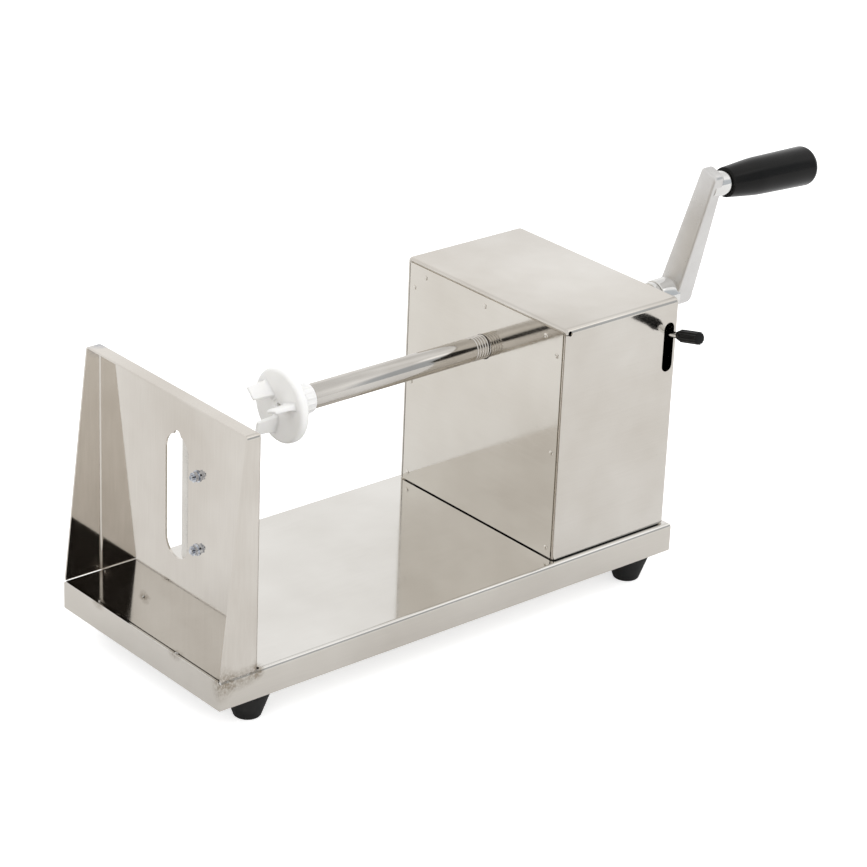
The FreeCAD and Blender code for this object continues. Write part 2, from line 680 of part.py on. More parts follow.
def make_rivets(name, label, face, outward):
    rivets = []
    half = size("rivet_diameter") / 2
    for number, (y, z) in enumerate(rivet_places(), start=1):
        body = new_body("%s_rivet%d" % (name, number))
        stem = new_sketch(body, "%s_stem%d" % (name, number), "YZ_Plane", face)
        add_polygon(stem, octagon(y, z, half - size("rivet_lip")))
        pad(body, stem, gauge, "%s_shank%d" % (name, number), back=outward > 0)
        head = new_sketch(body, "%s_cap%d" % (name, number), "YZ_Plane", face)
        add_polygon(head, octagon(y, z, half))
        pad(body, head, size("rivet_head"), "%s_head%d" % (name, number), back=outward < 0)
        rivets.append(body)
    keep(combine("Compound", name + "_set", rivets), label)


# Shaft carrier: a channel on the tray floor whose two ears hold the bushes
def make_carrier():
    body = new_body("carrier")
    thick = size("carrier_gauge")
    front = carrier_start
    length = size("carrier_length")
    section = new_sketch(body, "carrier_section", "XZ_Plane")
    top = axis_z + size("carrier_top")
    add_polygon(section, [
        (front, tray_top), (front + length, tray_top), (front + length, top),
        (front + length - thick, top), (front + length - thick, tray_top + thick),
        (front + thick, tray_top + thick), (front + thick, top), (front, top)])
    block = pad(body, section, size("carrier_width"), "carrier_channel", centred=True)
    folds = edges_where(block.Shape, lambda e: along(e, "y") and close(middle(e).z, tray_top + thick))
    block = dress(body, "Fillet", "carrier_folds", block, folds, "Radius", 2)
    tips = edges_where(block.Shape, lambda e: along(e, "x") and close(middle(e).z, top))
    dress(body, "Fillet", "carrier_ears", block, tips, "Radius", size("carrier_width") / 4)
    bores = new_sketch(body, "carrier_bores_sketch", "YZ_Plane", front - 1)
    add_circle(bores, 0, axis_z, bush_radius * 2)
    pocket(body, bores, length + 2, "carrier_bores", back=True)
    keep(body, "shaft_carrier")


def make_bush(name, label, face, inward):
    """A flanged bush pressed into an ear from outside; inward is the way its barrel points."""
    body = new_body(name)
    profile = new_sketch(body, name + "_profile", "XZ_Plane")
    bore = tube_radius + running
    flange = bush_radius + size("bush_flange_lip")
    barrel = bush_radius
    start = face - size("bush_flange") * inward
    end = face + size("bush_length") * inward
    add_polygon(profile, [(start, bore), (start, flange), (face, flange), (face, barrel),
                          (end, barrel), (end, bore)])
    revolve(body, profile, name + "_turned", "X_Axis")
    body.Placement = Placement(Vector(0, 0, float(axis_z)), Rotation())
    keep(body, label)


# Screw tube: the skewer and the cut core pass inside it
def make_tube():
    body = new_body("tube")
    profile = new_sketch(body, "tube_profile", "XZ_Plane")
    start = chuck_face + size("chuck_disc") + size("tube_seat")
    add_rectangle(profile, start, arm_end - size("arm_cap"), tube_radius - size("tube_wall"), tube_radius)
    revolve(body, profile, "tube_turned", "X_Axis")
    body.Placement = Placement(Vector(0, 0, float(axis_z)), Rotation())
    keep(body, "feed_tube")


# Chuck: a moulded disc with a ribbed hub behind and flat fins in front, set round the skewer hole
def make_chuck():
    body = new_body("chuck")
    face = chuck_face
    disc = size("chuck_disc")
    hub = chuck_hub
    rim = size("chuck_diameter") / 2
    seat = face + disc + size("tube_seat")
    end = chuck_end
    hole = size("skewer_diameter") / 2
    bore = tube_radius
    flare = size("chuck_hub_wall")
    profile = new_sketch(body, "chuck_profile", "XZ_Plane")
    add_polygon(profile, [(face, hole), (face, rim), (face + disc, rim), (face + disc, hub + flare),
                          (face + disc + flare, hub), (end, hub), (end, bore), (seat, bore), (seat, hole)])
    turned = revolve(body, profile, "chuck_turned", "X_Axis")
    edges = edges_where(turned.Shape, lambda e: close(math.hypot(middle(e).y, middle(e).z), rim)
                        and (close(middle(e).x, face) or close(middle(e).x, face + disc)))
    dress(body, "Chamfer", "chuck_rim", turned, edges, "Size", size("chuck_rim_round"))
    outer = size("tooth_outer_radius")
    inner = size("tooth_inner_radius")
    half = size("tooth_gauge") / 2
    tip = size("tooth_tip_gauge") / 2
    taper = size("tooth_taper")
    root = new_sketch(body, "tooth_root", "YZ_Plane", face + 1)
    add_rectangle(root, inner, outer, -half, half)
    crest = new_sketch(body, "tooth_crest", "YZ_Plane", face - size("tooth_height"))
    add_rectangle(crest, inner + taper, outer - taper, -tip, tip)
    loft = body.newObject("PartDesign::AdditiveLoft", "tooth")
    loft.Profile = root
    loft.Sections = [crest]
    loft.Ruled = True
    settled(loft)
    ring = body.newObject("PartDesign::PolarPattern", "teeth")
    ring.Originals = [loft]
    ring.Axis = (plane_of(body, "X_Axis"), [""])
    ring.Angle = 360
    ring.Occurrences = count("tooth_count")
    body.Tip = ring
    settled(ring)
    groove = new_sketch(body, "rib_groove_sketch", "YZ_Plane", end - 1.2)
    depth = size("chuck_rib_depth")
    add_polygon(groove, [(hub - depth, 0), (hub + depth, -depth * 2), (hub + depth, depth * 2)])
    first = pocket(body, groove, end - face - disc - flare - 2.4, "rib_groove")
    ribs = body.newObject("PartDesign::PolarPattern", "rib_grooves")
    ribs.Originals = [first]
    ribs.Axis = (plane_of(body, "X_Axis"), [""])
    ribs.Angle = 360
    ribs.Occurrences = count("chuck_ribs")
    body.Tip = ribs
    settled(ribs)
    screw = new_sketch(body, "chuck_screw_hole", "XY_Plane")
    add_circle(screw, end - size("chuck_screw_offset"), 0, size("chuck_screw_diameter"))
    pocket(body, screw, hub + 2, "chuck_screw_bore", back=True)
    turn = Rotation(Vector(1, 0, 0), float(size("tooth_turn")))
    body.Placement = Placement(Vector(0, 0, float(axis_z)), turn)
    keep(body, "chuck")


def make_chuck_screw():
    x = chuck_end - size("chuck_screw_offset")
    plug = primitive("Cylinder", "chuck_plug", (0, 0, 0), Radius=size("chuck_screw_diameter") / 2,
                     Height=size("chuck_hub_wall") - size("chuck_rib_depth"))
    turn = Rotation(Vector(1, 0, 0), float(size("tooth_turn")))
    away = turn.multVec(Vector(0, 0, float(tube_radius)))
    plug.Placement = Placement(Vector(float(x), away.y, float(axis_z) + away.z), turn)
    keep(combine("Compound", "chuck_screw_set", [plug]), "chuck_screw")


# Crank arm: a casting with a round hub on the tube, a tapering square-edged arm and an eye for the spindle
def make_arm():
    body = new_body("arm")
    plate = new_sketch(body, "arm_plate_sketch", "YZ_Plane", arm_start)
    root = size("arm_root_width") / 2
    tip = size("arm_tip_width") / 2
    add_polygon(plate, [(-root, 0), (root, 0), (tip, arm_length), (-tip, arm_length)])
    block = pad(body, plate, size("arm_gauge"), "arm_plate")
    corners = edges_where(block.Shape, lambda e: along(e, "x") and close(middle(e).z, arm_length))
    dress(body, "Fillet", "arm_corners", block, corners, "Radius", size("arm_corner"))
    hub = new_sketch(body, "arm_hub_sketch", "YZ_Plane", arm_start)
    add_circle(hub, 0, 0, (tube_radius + size("arm_hub_wall")) * 2)
    pad(body, hub, size("arm_gauge"), "arm_hub")
    taper = new_sketch(body, "arm_taper_sketch", "XZ_Plane")
    hub_side = tube_radius + size("arm_hub_wall")
    add_polygon(taper, [(arm_end, hub_side), (arm_end + 1, hub_side), (arm_end + 1, arm_length + 1),
                        (arm_start + size("arm_tip_gauge"), arm_length + 1)])
    tapered = pocket(body, taper, hub_side * 4, "arm_taper", centred=True)
    outline = edges_where(tapered.Shape, lambda e: not along(e, "x") and not along(e, "y"))
    dress(body, "Chamfer", "arm_edges", tapered, outline, "Size", size("arm_round"))
    boss = new_sketch(body, "arm_boss_sketch", "YZ_Plane", boss_start)
    add_circle(boss, 0, 0, boss_radius * 2)
    pad(body, boss, arm_start - boss_start + 2, "arm_boss")
    eye = canted_sketch(body, "arm_eye_sketch", size("spindle_seat"))
    add_circle(eye, 0, 0, size("arm_eye_diameter"))
    pad(body, eye, eye_end - size("spindle_seat"), "arm_eye")
    bore = new_sketch(body, "arm_tube_bore_sketch", "YZ_Plane", boss_start - 1)
    add_circle(bore, 0, 0, size("tube_diameter"))
    pocket(body, bore, arm_end - size("arm_cap") - boss_start + 1, "arm_tube_bore", back=True)
    pin = canted_sketch(body, "arm_spindle_bore_sketch", size("spindle_seat"))
    add_circle(pin, 0, 0, size("spindle_diameter"))
    pocket(body, pin, eye_end - size("spindle_seat") + 1, "arm_spindle_bore", back=True)
    screw = new_sketch(body, "arm_screw_bore_sketch", "XY_Plane", -(boss_radius * 2))
    add_circle(screw, boss_start + size("arm_screw_offset"), 0, size("arm_screw_diameter"))
    pocket(body, screw, boss_radius * 2, "arm_screw_bore", back=True)
    turn = Rotation(Vector(1, 0, 0), float(size("arm_angle")))
    body.Placement = Placement(Vector(0, 0, float(axis_z)), turn)
    keep(body, "crank_arm")


def make_arm_screw():
    x = boss_start + size("arm_screw_offset")
    reach = size("boss_wall") - 0.5
    plug = primitive("Cylinder", "arm_plug", (0, 0, 0), Radius=size("arm_screw_diameter") / 2,
                     Height=reach)
    turn = Rotation(Vector(1, 0, 0), float(size("arm_angle")) + 180)
    away = turn.multVec(Vector(0, 0, float(tube_radius)))
    plug.Placement = Placement(Vector(float(x), away.y, float(axis_z) + away.z), turn)
    keep(combine("Compound", "arm_screw_set", [plug]), "arm_screw")


# Spindle: a headed pin set blind in the arm's eye, on which the grip turns
def make_spindle():
    body = new_body("spindle")
    profile = new_sketch(body, "spindle_profile", "XZ_Plane")
    shank = size("spindle_diameter") / 2
    flange = size("spindle_head_diameter") / 2
    end = grip_start + size("grip_length") - size("spindle_end_inset")
    seat = size("spindle_seat")
    add_polygon(profile, [(seat, 0), (seat, shank), (end, shank), (end, flange),
                          (end + size("spindle_head_height"), flange),
                          (end + size("spindle_head_height"), 0)])
    revolve(body, profile, "spindle_turned", "X_Axis")
    body.Placement = Placement(on_spindle(0), SPINDLE_TURN)
    keep(body, "grip_spindle")


# Grip: a machine handle in two tapers with a rounded end, free to turn on the spindle
def make_grip():
    body = new_body("grip")
    small = size("grip_small_diameter") / 2
    large = size("grip_large_diameter") / 2
    start = grip_start
    end = start + size("grip_length")
    bore = size("spindle_diameter") / 2 + running
    recess = size("spindle_head_diameter") / 2 + size("end_play")
    seat = end - size("spindle_end_inset") - size("end_play")
    deep = seat + size("spindle_head_height") + size("end_play") * 2
    edge = size("grip_edge")
    round_end = size("grip_end_round")
    flat = size("grip_end_flat")
    profile = new_sketch(body, "grip_profile", "XZ_Plane")
    add_polygon(profile, [
        (start, bore), (start, small - edge), (start + edge, small),
        (start + size("grip_waist"), size("grip_waist_diameter") / 2), (end - round_end, large),
        (end - round_end * 0.38, large - round_end * 0.22), (end - round_end * 0.06, large - round_end * 0.66),
        (end, large - flat), (end, 0),
        (deep, 0), (deep, recess), (seat, recess), (seat, bore)])
    revolve(body, profile, "grip_turned", "X_Axis")
    body.Placement = Placement(on_spindle(0), SPINDLE_TURN)
    keep(body, "grip")


def make_stop_ring():
    outer = primitive("Cylinder", "ring_outer", (ring_start, 0, axis_z), ALONG_X,
                      Radius=ring_radius, Height=size("ring_length"))
    inner = primitive("Cylinder", "ring_bore", (ring_start - 1, 0, axis_z), ALONG_X,
                      Radius=tube_radius + running, Height=size("ring_length") + 2)
    keep(combine("Cut", "ring", [outer, inner]), "stop_ring")


# Release lever: a plate round the tube, hinged at the far side, that holds a half nut up in the thread
def swung(y, z, angle):
    """A point of the plate's plane turned about the pivot, in degrees about +X."""
    turn = math.radians(float(angle))
    across = float(y) - float(pivot_y)
    up = float(z) - float(pivot_z)
    return (float(pivot_y) + across * math.cos(turn) - up * math.sin(turn),
            float(pivot_z) + across * math.sin(turn) + up * math.cos(turn))


def beside_rod(distance, offset):
    """The point on the rod's line at a distance from the middle plane, or beside it by an offset."""
    y = -distance * math.cos(rod_turn) + offset * math.sin(rod_turn)
    rise = distance * math.sin(rod_turn) + offset * math.cos(rod_turn)
    return y, float(axis_z) - float(size("rod_drop")) + rise


ROD_TURN = Rotation(Vector(1, 0, 0), 90 - float(size("rod_angle")))


def make_lever():
    body = new_body("lever")
    thick = size("lever_gauge")
    start = lever_plane - thick / 2
    ring = tube_radius + size("lever_ring_wall")
    hub = size("lever_hub_radius")
    saddle = tube_radius + size("saddle_clearance")
    # where the tube ends up, seen from the plate, once the lever is pressed down
    free_y, free_z = swung(0, axis_z, -float(size("lever_range")))
    along_y, along_z = free_y, free_z - float(axis_z)
    reach = math.hypot(along_y, along_z)
    side_y, side_z = -along_z / reach, along_y / reach

    def band(half):
        y, z = side_y * half, side_z * half
        near = [(y, float(axis_z) + z), (free_y + y, free_z + z)]
        return near + [(free_y - y, free_z - z), (-y, float(axis_z) - z)]

    lug_root, lug_end = float(size("lug_root")), float(size("lug_reach"))
    lug_half = float(size("lug_width")) / 2
    steps = [("lever_hub", [(pivot_y, pivot_z, hub * 2)], None),
             ("lever_ring", [(0, axis_z, ring * 2)], None),
             ("lever_crown", [(free_y, free_z, ring * 2)], None),
             ("lever_cheeks", None, band(float(ring))),
             ("lever_web", None, [
                 (pivot_y, pivot_z - hub), (pivot_y, pivot_z + hub), (ring * 0.9, axis_z + ring * 0.6),
                 (0, axis_z - ring + 0.4), (ring, pivot_z - hub)]),
             ("lever_lug", None, [
                 beside_rod(lug_root, -lug_half), beside_rod(lug_root, lug_half),
                 beside_rod(lug_end, lug_half), beside_rod(lug_end, -lug_half)])]
    for name, circles, corners in steps:
        sketch = new_sketch(body, name + "_sketch", "YZ_Plane", start)
        if circles:
            add_circle(sketch, *circles[0])
        else:
            add_polygon(sketch, corners)
        pad(body, sketch, thick, name)
    cuts = [("lever_saddle", (0, axis_z, saddle * 2), None),
            ("lever_relief", (free_y, free_z, (saddle + size("relief_clearance")) * 2), None),
            ("lever_gap", None, band(float(saddle + size("relief_clearance")))),
            ("lever_pin_bore", (pivot_y, pivot_z, size("pivot_diameter") + running * 2), None)]
    for name, circle, corners in cuts:
        sketch = new_sketch(body, name + "_sketch", "YZ_Plane", start - 1)
        if circle:
            add_circle(sketch, *circle)
        else:
            add_polygon(sketch, corners)
        pocket(body, sketch, thick + 2, name, back=True)
    y, z = beside_rod(float(size("rod_start")), 0)
    bore = primitive("Cylinder", "rod_bore", (lever_plane, y, z), ROD_TURN, Radius=size("rod_diameter") / 2,
                     Height=size("lug_reach") - size("rod_start") + 1)
    screws = []
    low = axis_z - tube_radius - size("nut_screw_depth_below")
    for number, side in enumerate((-1, 1), start=1):
        place = (start - 1, size("nut_screw_side") * side, low)
        screws.append(primitive("Cylinder", "lever_screw_bore%d" % number, place, ALONG_X,
                                Radius=size("nut_screw_diameter") / 2, Height=thick + 2))
    keep(combine("Cut", "lever_plate", [body, combine("MultiFuse", "lever_bores", [bore] + screws)]),
         "clutch_plate")


# Half nut: a nylon block under the tube, screwed to the lever plate
def make_half_nut():
    start = lever_plane - size("lever_gauge") / 2 - size("half_nut_length")
    width = size("half_nut_width")
    saddle = tube_radius + size("saddle_clearance")
    low = axis_z - tube_radius - size("half_nut_depth")
    block = primitive("Box", "half_nut_block", (start, -width / 2, low), Length=size("half_nut_length"),
                      Width=width, Height=size("half_nut_depth") + tube_radius / 2)
    tools = [primitive("Cylinder", "half_nut_bore", (start - 1, 0, axis_z), ALONG_X, Radius=saddle,
                       Height=size("half_nut_length") + 2)]
    screws = []
    depth = size("nut_screw_depth")
    for number, side in enumerate((-1, 1), start=1):
        y = size("nut_screw_side") * side
        z = axis_z - tube_radius - size("nut_screw_depth_below")
        inner = lever_plane - size("lever_gauge") / 2 - depth
        tools.append(primitive("Cylinder", "nut_screw_hole%d" % number, (inner, y, z), ALONG_X,
                               Radius=size("nut_screw_diameter") / 2, Height=depth + 1))
        stem = primitive("Cylinder", "nut_screw_stem%d" % number, (inner, y, z), ALONG_X,
                         Radius=size("nut_screw_diameter") / 2, Height=depth + size("lever_gauge"))
        head = primitive("Cylinder", "nut_screw_head%d" % number,
                         (lever_plane + size("lever_gauge") / 2, y, z), ALONG_X,
                         Radius=size("nut_screw_diameter") * 0.9, Height=size("nut_screw_diameter") * 0.6)
        screws.append(combine("MultiFuse", "nut_screw%d" % number, [stem, head]))
    keep(combine("Cut", "half_nut_cut", [block, combine("MultiFuse", "half_nut_tools", tools)]), "half_nut")
    keep(combine("Compound", "half_nut_screw_set", screws), "half_nut_screws")


def make_rod():
    y, z = beside_rod(float(size("rod_start")), 0)
    length = knob_start - size("rod_start") + size("knob_bore_depth")
    rod = primitive("Cylinder", "rod_bar", (lever_plane, y, z), ROD_TURN, Radius=size("rod_diameter") / 2,
                    Height=length)
    keep(combine("Compound", "rod_set", [rod]), "clutch_rod")


def make_knob():
    body = new_body("knob")
    radius = size("knob_diameter") / 2
    length = size("knob_length")
    bore = size("rod_diameter") / 2
    deep = size("knob_bore_depth")
    profile = new_sketch(body, "knob_profile", "XZ_Plane")
    add_polygon(profile, [
        (bore, 0), (radius - 2.2, 0), (radius - 1.2, 2), (radius, 4.5), (radius, length - 1.2),
        (radius - 1.2, length), (0, length), (0, deep), (bore, deep)])
    revolve(body, profile, "knob_turned", "Z_Axis")
    groove = new_sketch(body, "knob_groove_sketch", "XY_Plane", length + 1)
    depth = size("knob_rib_depth")
    add_polygon(groove, [(radius - depth, 0), (radius + depth, -depth * 2), (radius + depth, depth * 2)])
    first = pocket(body, groove, length - 4, "knob_groove")
    ring = body.newObject("PartDesign::PolarPattern", "knob_grooves")
    ring.Originals = [first]
    ring.Axis = (plane_of(body, "Z_Axis"), [""])
    ring.Angle = 360
    ring.Occurrences = count("knob_ribs")
    body.Tip = ring
    settled(ring)
    y, z = beside_rod(float(knob_start), 0)
    body.Placement = Placement(Vector(float(lever_plane), y, z), ROD_TURN)
    keep(body, "clutch_knob")


# Bracket: an upright channel on the tray floor; its ears hold the pivot and its shelf the return spring
half_ear = size("lever_gauge") / 2 + size("ear_gap") + size("ear_gauge")


def make_bracket():
    thick = size("ear_gauge")
    left = lever_plane - half_ear
    right = lever_plane + half_ear
    back = pivot_y + size("lever_hub_radius") + 0.5
    front = back + thick - size("bracket_depth")
    body = new_body("bracket")
    plan = new_sketch(body, "bracket_plan", "XY_Plane", tray_top)
    add_polygon(plan, [
        (left, front), (left + thick, front), (left + thick, back), (right - thick, back),
        (right - thick, front), (right, front), (right, back + thick), (left, back + thick)])
    block = pad(body, plan, pivot_z + size("bracket_above_pivot") - tray_top, "bracket_channel")
    top = float(pivot_z + size("bracket_above_pivot"))
    tips = edges_where(block.Shape, lambda e: along(e, "x") and close(middle(e).z, top)
                       and close(middle(e).y, front))
    dress(body, "Fillet", "bracket_ears", block, tips, "Radius", size("bracket_above_pivot"))
    shelf = new_sketch(body, "bracket_shelf_sketch", "XY_Plane", spring_low() - thick)
    add_rectangle(shelf, left + thick / 2, right - thick / 2, front, back + thick / 2)
    pad(body, shelf, thick, "bracket_shelf")
    bores = new_sketch(body, "bracket_bore_sketch", "YZ_Plane", left - 1)
    add_circle(bores, pivot_y, pivot_z, size("pivot_diameter"))
    pocket(body, bores, half_ear * 2 + 2, "bracket_bores", back=True)
    keep(body, "clutch_bracket")


def make_pivot_pin():
    body = new_body("pin")
    shank = size("pivot_diameter") / 2
    neck = size("clip_bore") / 2
    head = size("pivot_head") / 2
    clip_end = -half_ear - 0.1
    clip_start = clip_end - size("clip_gauge")
    profile = new_sketch(body, "pin_profile", "XZ_Plane")
    add_polygon(profile, [
        (half_ear + size("pivot_head_height"), 0), (half_ear + size("pivot_head_height"), head),
        (half_ear, head), (half_ear, shank), (clip_end, shank), (clip_end, neck), (clip_start, neck),
        (clip_start, shank), (clip_start - 1.4, shank), (clip_start - 1.4, 0)])
    revolve(body, profile, "pin_turned", "X_Axis")
    place = Placement(Vector(float(lever_plane), float(pivot_y), float(pivot_z)), Rotation())
    body.Placement = place
    keep(body, "pivot_pin")
    x = lever_plane + clip_start
    outer = primitive("Cylinder", "clip_outer", (x, pivot_y, pivot_z), ALONG_X, Radius=head,
                      Height=size("clip_gauge"))
    inner = primitive("Cylinder", "clip_inner", (x - 1, pivot_y, pivot_z), ALONG_X, Radius=neck,
                      Height=size("clip_gauge") + 2)
    mouth = primitive("Box", "clip_mouth", (x - 1, pivot_y - neck * 0.8, pivot_z - head * 2),
                      Length=size("clip_gauge") + 2, Width=neck * 1.6, Height=head * 2)
    keep(combine("Cut", "clip", [outer, combine("MultiFuse", "clip_cutter", [inner, mouth])]), "pivot_clip")


def spring_low():
    return pivot_z - size("lever_hub_radius") - size("spring_length")


def make_spring():
    place = (lever_plane, pivot_y - size("spring_arm"), spring_low())
    radius = size("spring_diameter") / 2
    length = size("spring_length")
    outer = primitive("Cylinder", "spring_outer", place, Radius=radius, Height=length)
    inner = primitive("Cylinder", "spring_inner", place, Radius=radius - size("spring_wire"), Height=length)
    keep(combine("Cut", "spring", [outer, inner]), "clutch_spring")


make_tray()
make_end_skirt()
make_feet()
make_foot_screws()
make_stand()
make_blade()
make_blade_fasteners()
make_housing()
make_panel("front_panel", "front_panel", housing_front)
make_panel("rear_panel", "rear_panel", housing_rear - gauge)
make_rivets("front", "front_rivets", housing_front, -1)
make_rivets("rear", "rear_rivets", housing_rear, 1)
make_carrier()
make_bush("front_bush", "front_bush", carrier_start, 1)
make_bush("rear_bush", "rear_bush", carrier_end, -1)
make_tube()
make_chuck()
make_chuck_screw()
make_arm()
make_arm_screw()
make_spindle()
make_grip()
make_stop_ring()
make_lever()
make_half_nut()
make_rod()
make_knob()
make_bracket()
make_pivot_pin()
make_spring()

doc.recompute()
faults = []
for obj in doc.Objects:
    if "Invalid" in obj.State or "Error" in obj.State:
        faults.append("%s: %s" % (obj.Name, obj.State))
for obj in parts:
    if obj.Shape.isNull() or not obj.Shape.isValid():
        faults.append(obj.Label + " has no valid shape")
if faults:
    raise RuntimeError("; ".join(faults))

os.makedirs("parts", exist_ok=True)
for obj in parts:
    obj.Shape.exportStep("parts/%s.step" % obj.Label)
    box = obj.Shape.BoundBox
    print("%-18s solids %d  volume %10.1f  x %7.1f %7.1f  y %7.1f %7.1f  z %6.1f %6.1f" % (
        obj.Label, len(obj.Shape.Solids), obj.Shape.Volume,
        box.XMin, box.XMax, box.YMin, box.YMax, box.ZMin, box.ZMax))
print("origin shift", ORIGIN)
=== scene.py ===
import bpy, bmesh, math
from mathutils import Matrix, Vector


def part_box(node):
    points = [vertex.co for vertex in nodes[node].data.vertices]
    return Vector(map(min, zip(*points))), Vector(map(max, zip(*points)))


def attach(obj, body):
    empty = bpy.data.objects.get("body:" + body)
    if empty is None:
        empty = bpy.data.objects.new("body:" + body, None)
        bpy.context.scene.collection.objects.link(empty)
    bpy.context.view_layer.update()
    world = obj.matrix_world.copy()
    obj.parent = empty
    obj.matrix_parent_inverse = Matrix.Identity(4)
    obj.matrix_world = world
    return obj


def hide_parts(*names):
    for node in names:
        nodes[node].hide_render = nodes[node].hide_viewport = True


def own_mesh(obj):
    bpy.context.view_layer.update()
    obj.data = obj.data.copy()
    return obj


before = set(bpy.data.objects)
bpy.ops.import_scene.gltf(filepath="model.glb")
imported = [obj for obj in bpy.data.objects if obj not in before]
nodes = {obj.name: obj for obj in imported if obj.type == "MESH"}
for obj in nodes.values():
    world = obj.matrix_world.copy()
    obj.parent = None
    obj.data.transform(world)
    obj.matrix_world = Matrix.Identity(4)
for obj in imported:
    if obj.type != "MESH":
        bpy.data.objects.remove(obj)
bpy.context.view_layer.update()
skirtLow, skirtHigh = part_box("end_skirt")
trayStart = skirtLow[0]
middleLine = (skirtLow[1] + skirtHigh[1]) / 2
print("frame loaded,", len(nodes), "nodes")


# lengths in the pieces' dictionaries are millimetres: x from the tray's left end, y from its middle, z up
def spot(x, y, z):
    return Vector((trayStart + x / 1000, middleLine + y / 1000, z / 1000))


# meshes

def roundCorners(points, steps=5):
    # points are (x, y) or (x, y, radius) of a closed outline
    made = []
    count = len(points)
    for i, point in enumerate(points):
        radius = point[2] if len(point) > 2 else 0
        here = Vector(point[:2])
        if not radius:
            made.append(tuple(here))
            continue
        before = (Vector(points[i - 1][:2]) - here).normalized()
        after = (Vector(points[(i + 1) % count][:2]) - here).normalized()
        half = before.angle(after) / 2
        reach = radius / math.tan(half)
        middle = here + (before + after).normalized() * (radius / math.sin(half))
        first = here + before * reach - middle
        last = here + after * reach - middle
        turn = first.angle_signed(last)
        for k in range(steps + 1):
            angle = -turn * k / steps
            made.append((middle.x + first.x * math.cos(angle) - first.y * math.sin(angle),
                         middle.y + first.x * math.sin(angle) + first.y * math.cos(angle)))
    return made


def finishMesh(name, verts, faces, materials, faceMaterials=None, sharp=32):
    mesh = bpy.data.meshes.new(name)
    mesh.from_pydata([tuple(v) for v in verts], [], faces)
    for mat in materials:
        mesh.materials.append(mat)
    if faceMaterials:
        mesh.polygons.foreach_set("material_index", faceMaterials)
    work = bmesh.new()
    work.from_mesh(mesh)
    bmesh.ops.remove_doubles(work, verts=work.verts, dist=1e-6)
    bmesh.ops.recalc_face_normals(work, faces=work.faces)
    work.to_mesh(mesh)
    work.free()
    mesh.shade_smooth()
    mesh.set_sharp_from_angle(angle=math.radians(sharp))
    return mesh


def addPiece(name, mesh, body, replaced=()):
    piece = bpy.data.objects.new(name, mesh)
    bpy.context.scene.collection.objects.link(piece)
    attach(piece, body)
    if replaced:
        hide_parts(*replaced)
    return piece


def solidPiece(name, shape, finish, body, replaced=(), sharp=40):
    # shape is (vertices, faces) in one finish
    mesh = finishMesh(name, *shape, [finishes[finish]], sharp=sharp)
    addPiece(name, mesh, body, replaced)


def skin(rings, loop=False):
    # faces between rings of equal count; open stacks get a cap at each end
    count = len(rings[0])
    verts = [v for ring in rings for v in ring]
    faces = []
    for i in range(len(rings) if loop else len(rings) - 1):
        a = i * count
        b = ((i + 1) % len(rings)) * count
        for j in range(count):
            k = (j + 1) % count
            faces.append((a + j, a + k, b + k, b + j))
    if not loop:
        faces.append(tuple(range(count)))
        faces.append(tuple(range(len(verts) - count, len(verts))))
    return verts, faces


def turned(outline, base, direction, segments=96):
    # outline is (distance along, radius) in millimetres, spun about a line through base
    direction = Vector(direction).normalized()
    across = direction.orthogonal().normalized()
    other = direction.cross(across)
    rings = []
    for j in range(segments):
        angle = 2 * math.pi * j / segments
        out = across * math.cos(angle) + other * math.sin(angle)
        rings.append([base + direction * (a / 1000) + out * (r / 1000) for a, r in outline])
    return skin(rings, loop=True)


def arc(radius, first, last, steps):
    angles = [math.radians(first + (last - first) * k / steps) for k in range(steps + 1)]
    return [(radius * math.cos(angle), radius * math.sin(angle)) for angle in angles]


def shapeOf(mesh):
    return [v.co.copy() for v in mesh.vertices], [tuple(p.vertices) for p in mesh.polygons]


def joined(*shapes):
    verts, faces = [], []
    for moreVerts, moreFaces in shapes:
        shift = len(verts)
        verts += list(moreVerts)
        faces += [tuple(i + shift for i in face) for face in moreFaces]
    return verts, faces


# nodes, for shapes and for materials

def fill(tree, node, inputs):
    # an input takes another node's output or a plain value
    for key, value in inputs.items():
        if isinstance(value, bpy.types.NodeSocket):
            tree.links.new(value, node.inputs[key])
        else:
            node.inputs[key].default_value = value


def addNode(tree, kind, inputs=None, **settings):
    # gives the outputs of the new node
    node = tree.nodes.new(kind)
    for key, value in settings.items():
        setattr(node, key, value)
    fill(tree, node, inputs or {})
    return node.outputs


def maths(tree, operation, first, second, clamp=False):
    inputs = {0: first, 1: second}
    return addNode(tree, "ShaderNodeMath", inputs, operation=operation, use_clamp=clamp)["Value"]


def startTree(name, inputs):
    tree = bpy.data.node_groups.new(name, "GeometryNodeTree")
    tree.interface.new_socket("Geometry", in_out="INPUT", socket_type="NodeSocketGeometry")
    tree.interface.new_socket("Geometry", in_out="OUTPUT", socket_type="NodeSocketGeometry")
    for label, kind, value in inputs:
        socket = tree.interface.new_socket(label, in_out="INPUT", socket_type="NodeSocket" + kind)
        socket.default_value = value
    return tree, tree.nodes.new("NodeGroupInput").outputs


def endTree(tree, geometry, finish):
    # instances are made real, because the export drops them
    real = addNode(tree, "GeometryNodeRealizeInstances", {"Geometry": geometry})["Geometry"]
    painted = addNode(tree, "GeometryNodeSetMaterial", {"Geometry": real, "Material": finish})["Geometry"]
    addNode(tree, "NodeGroupOutput", {"Geometry": painted})
    return tree


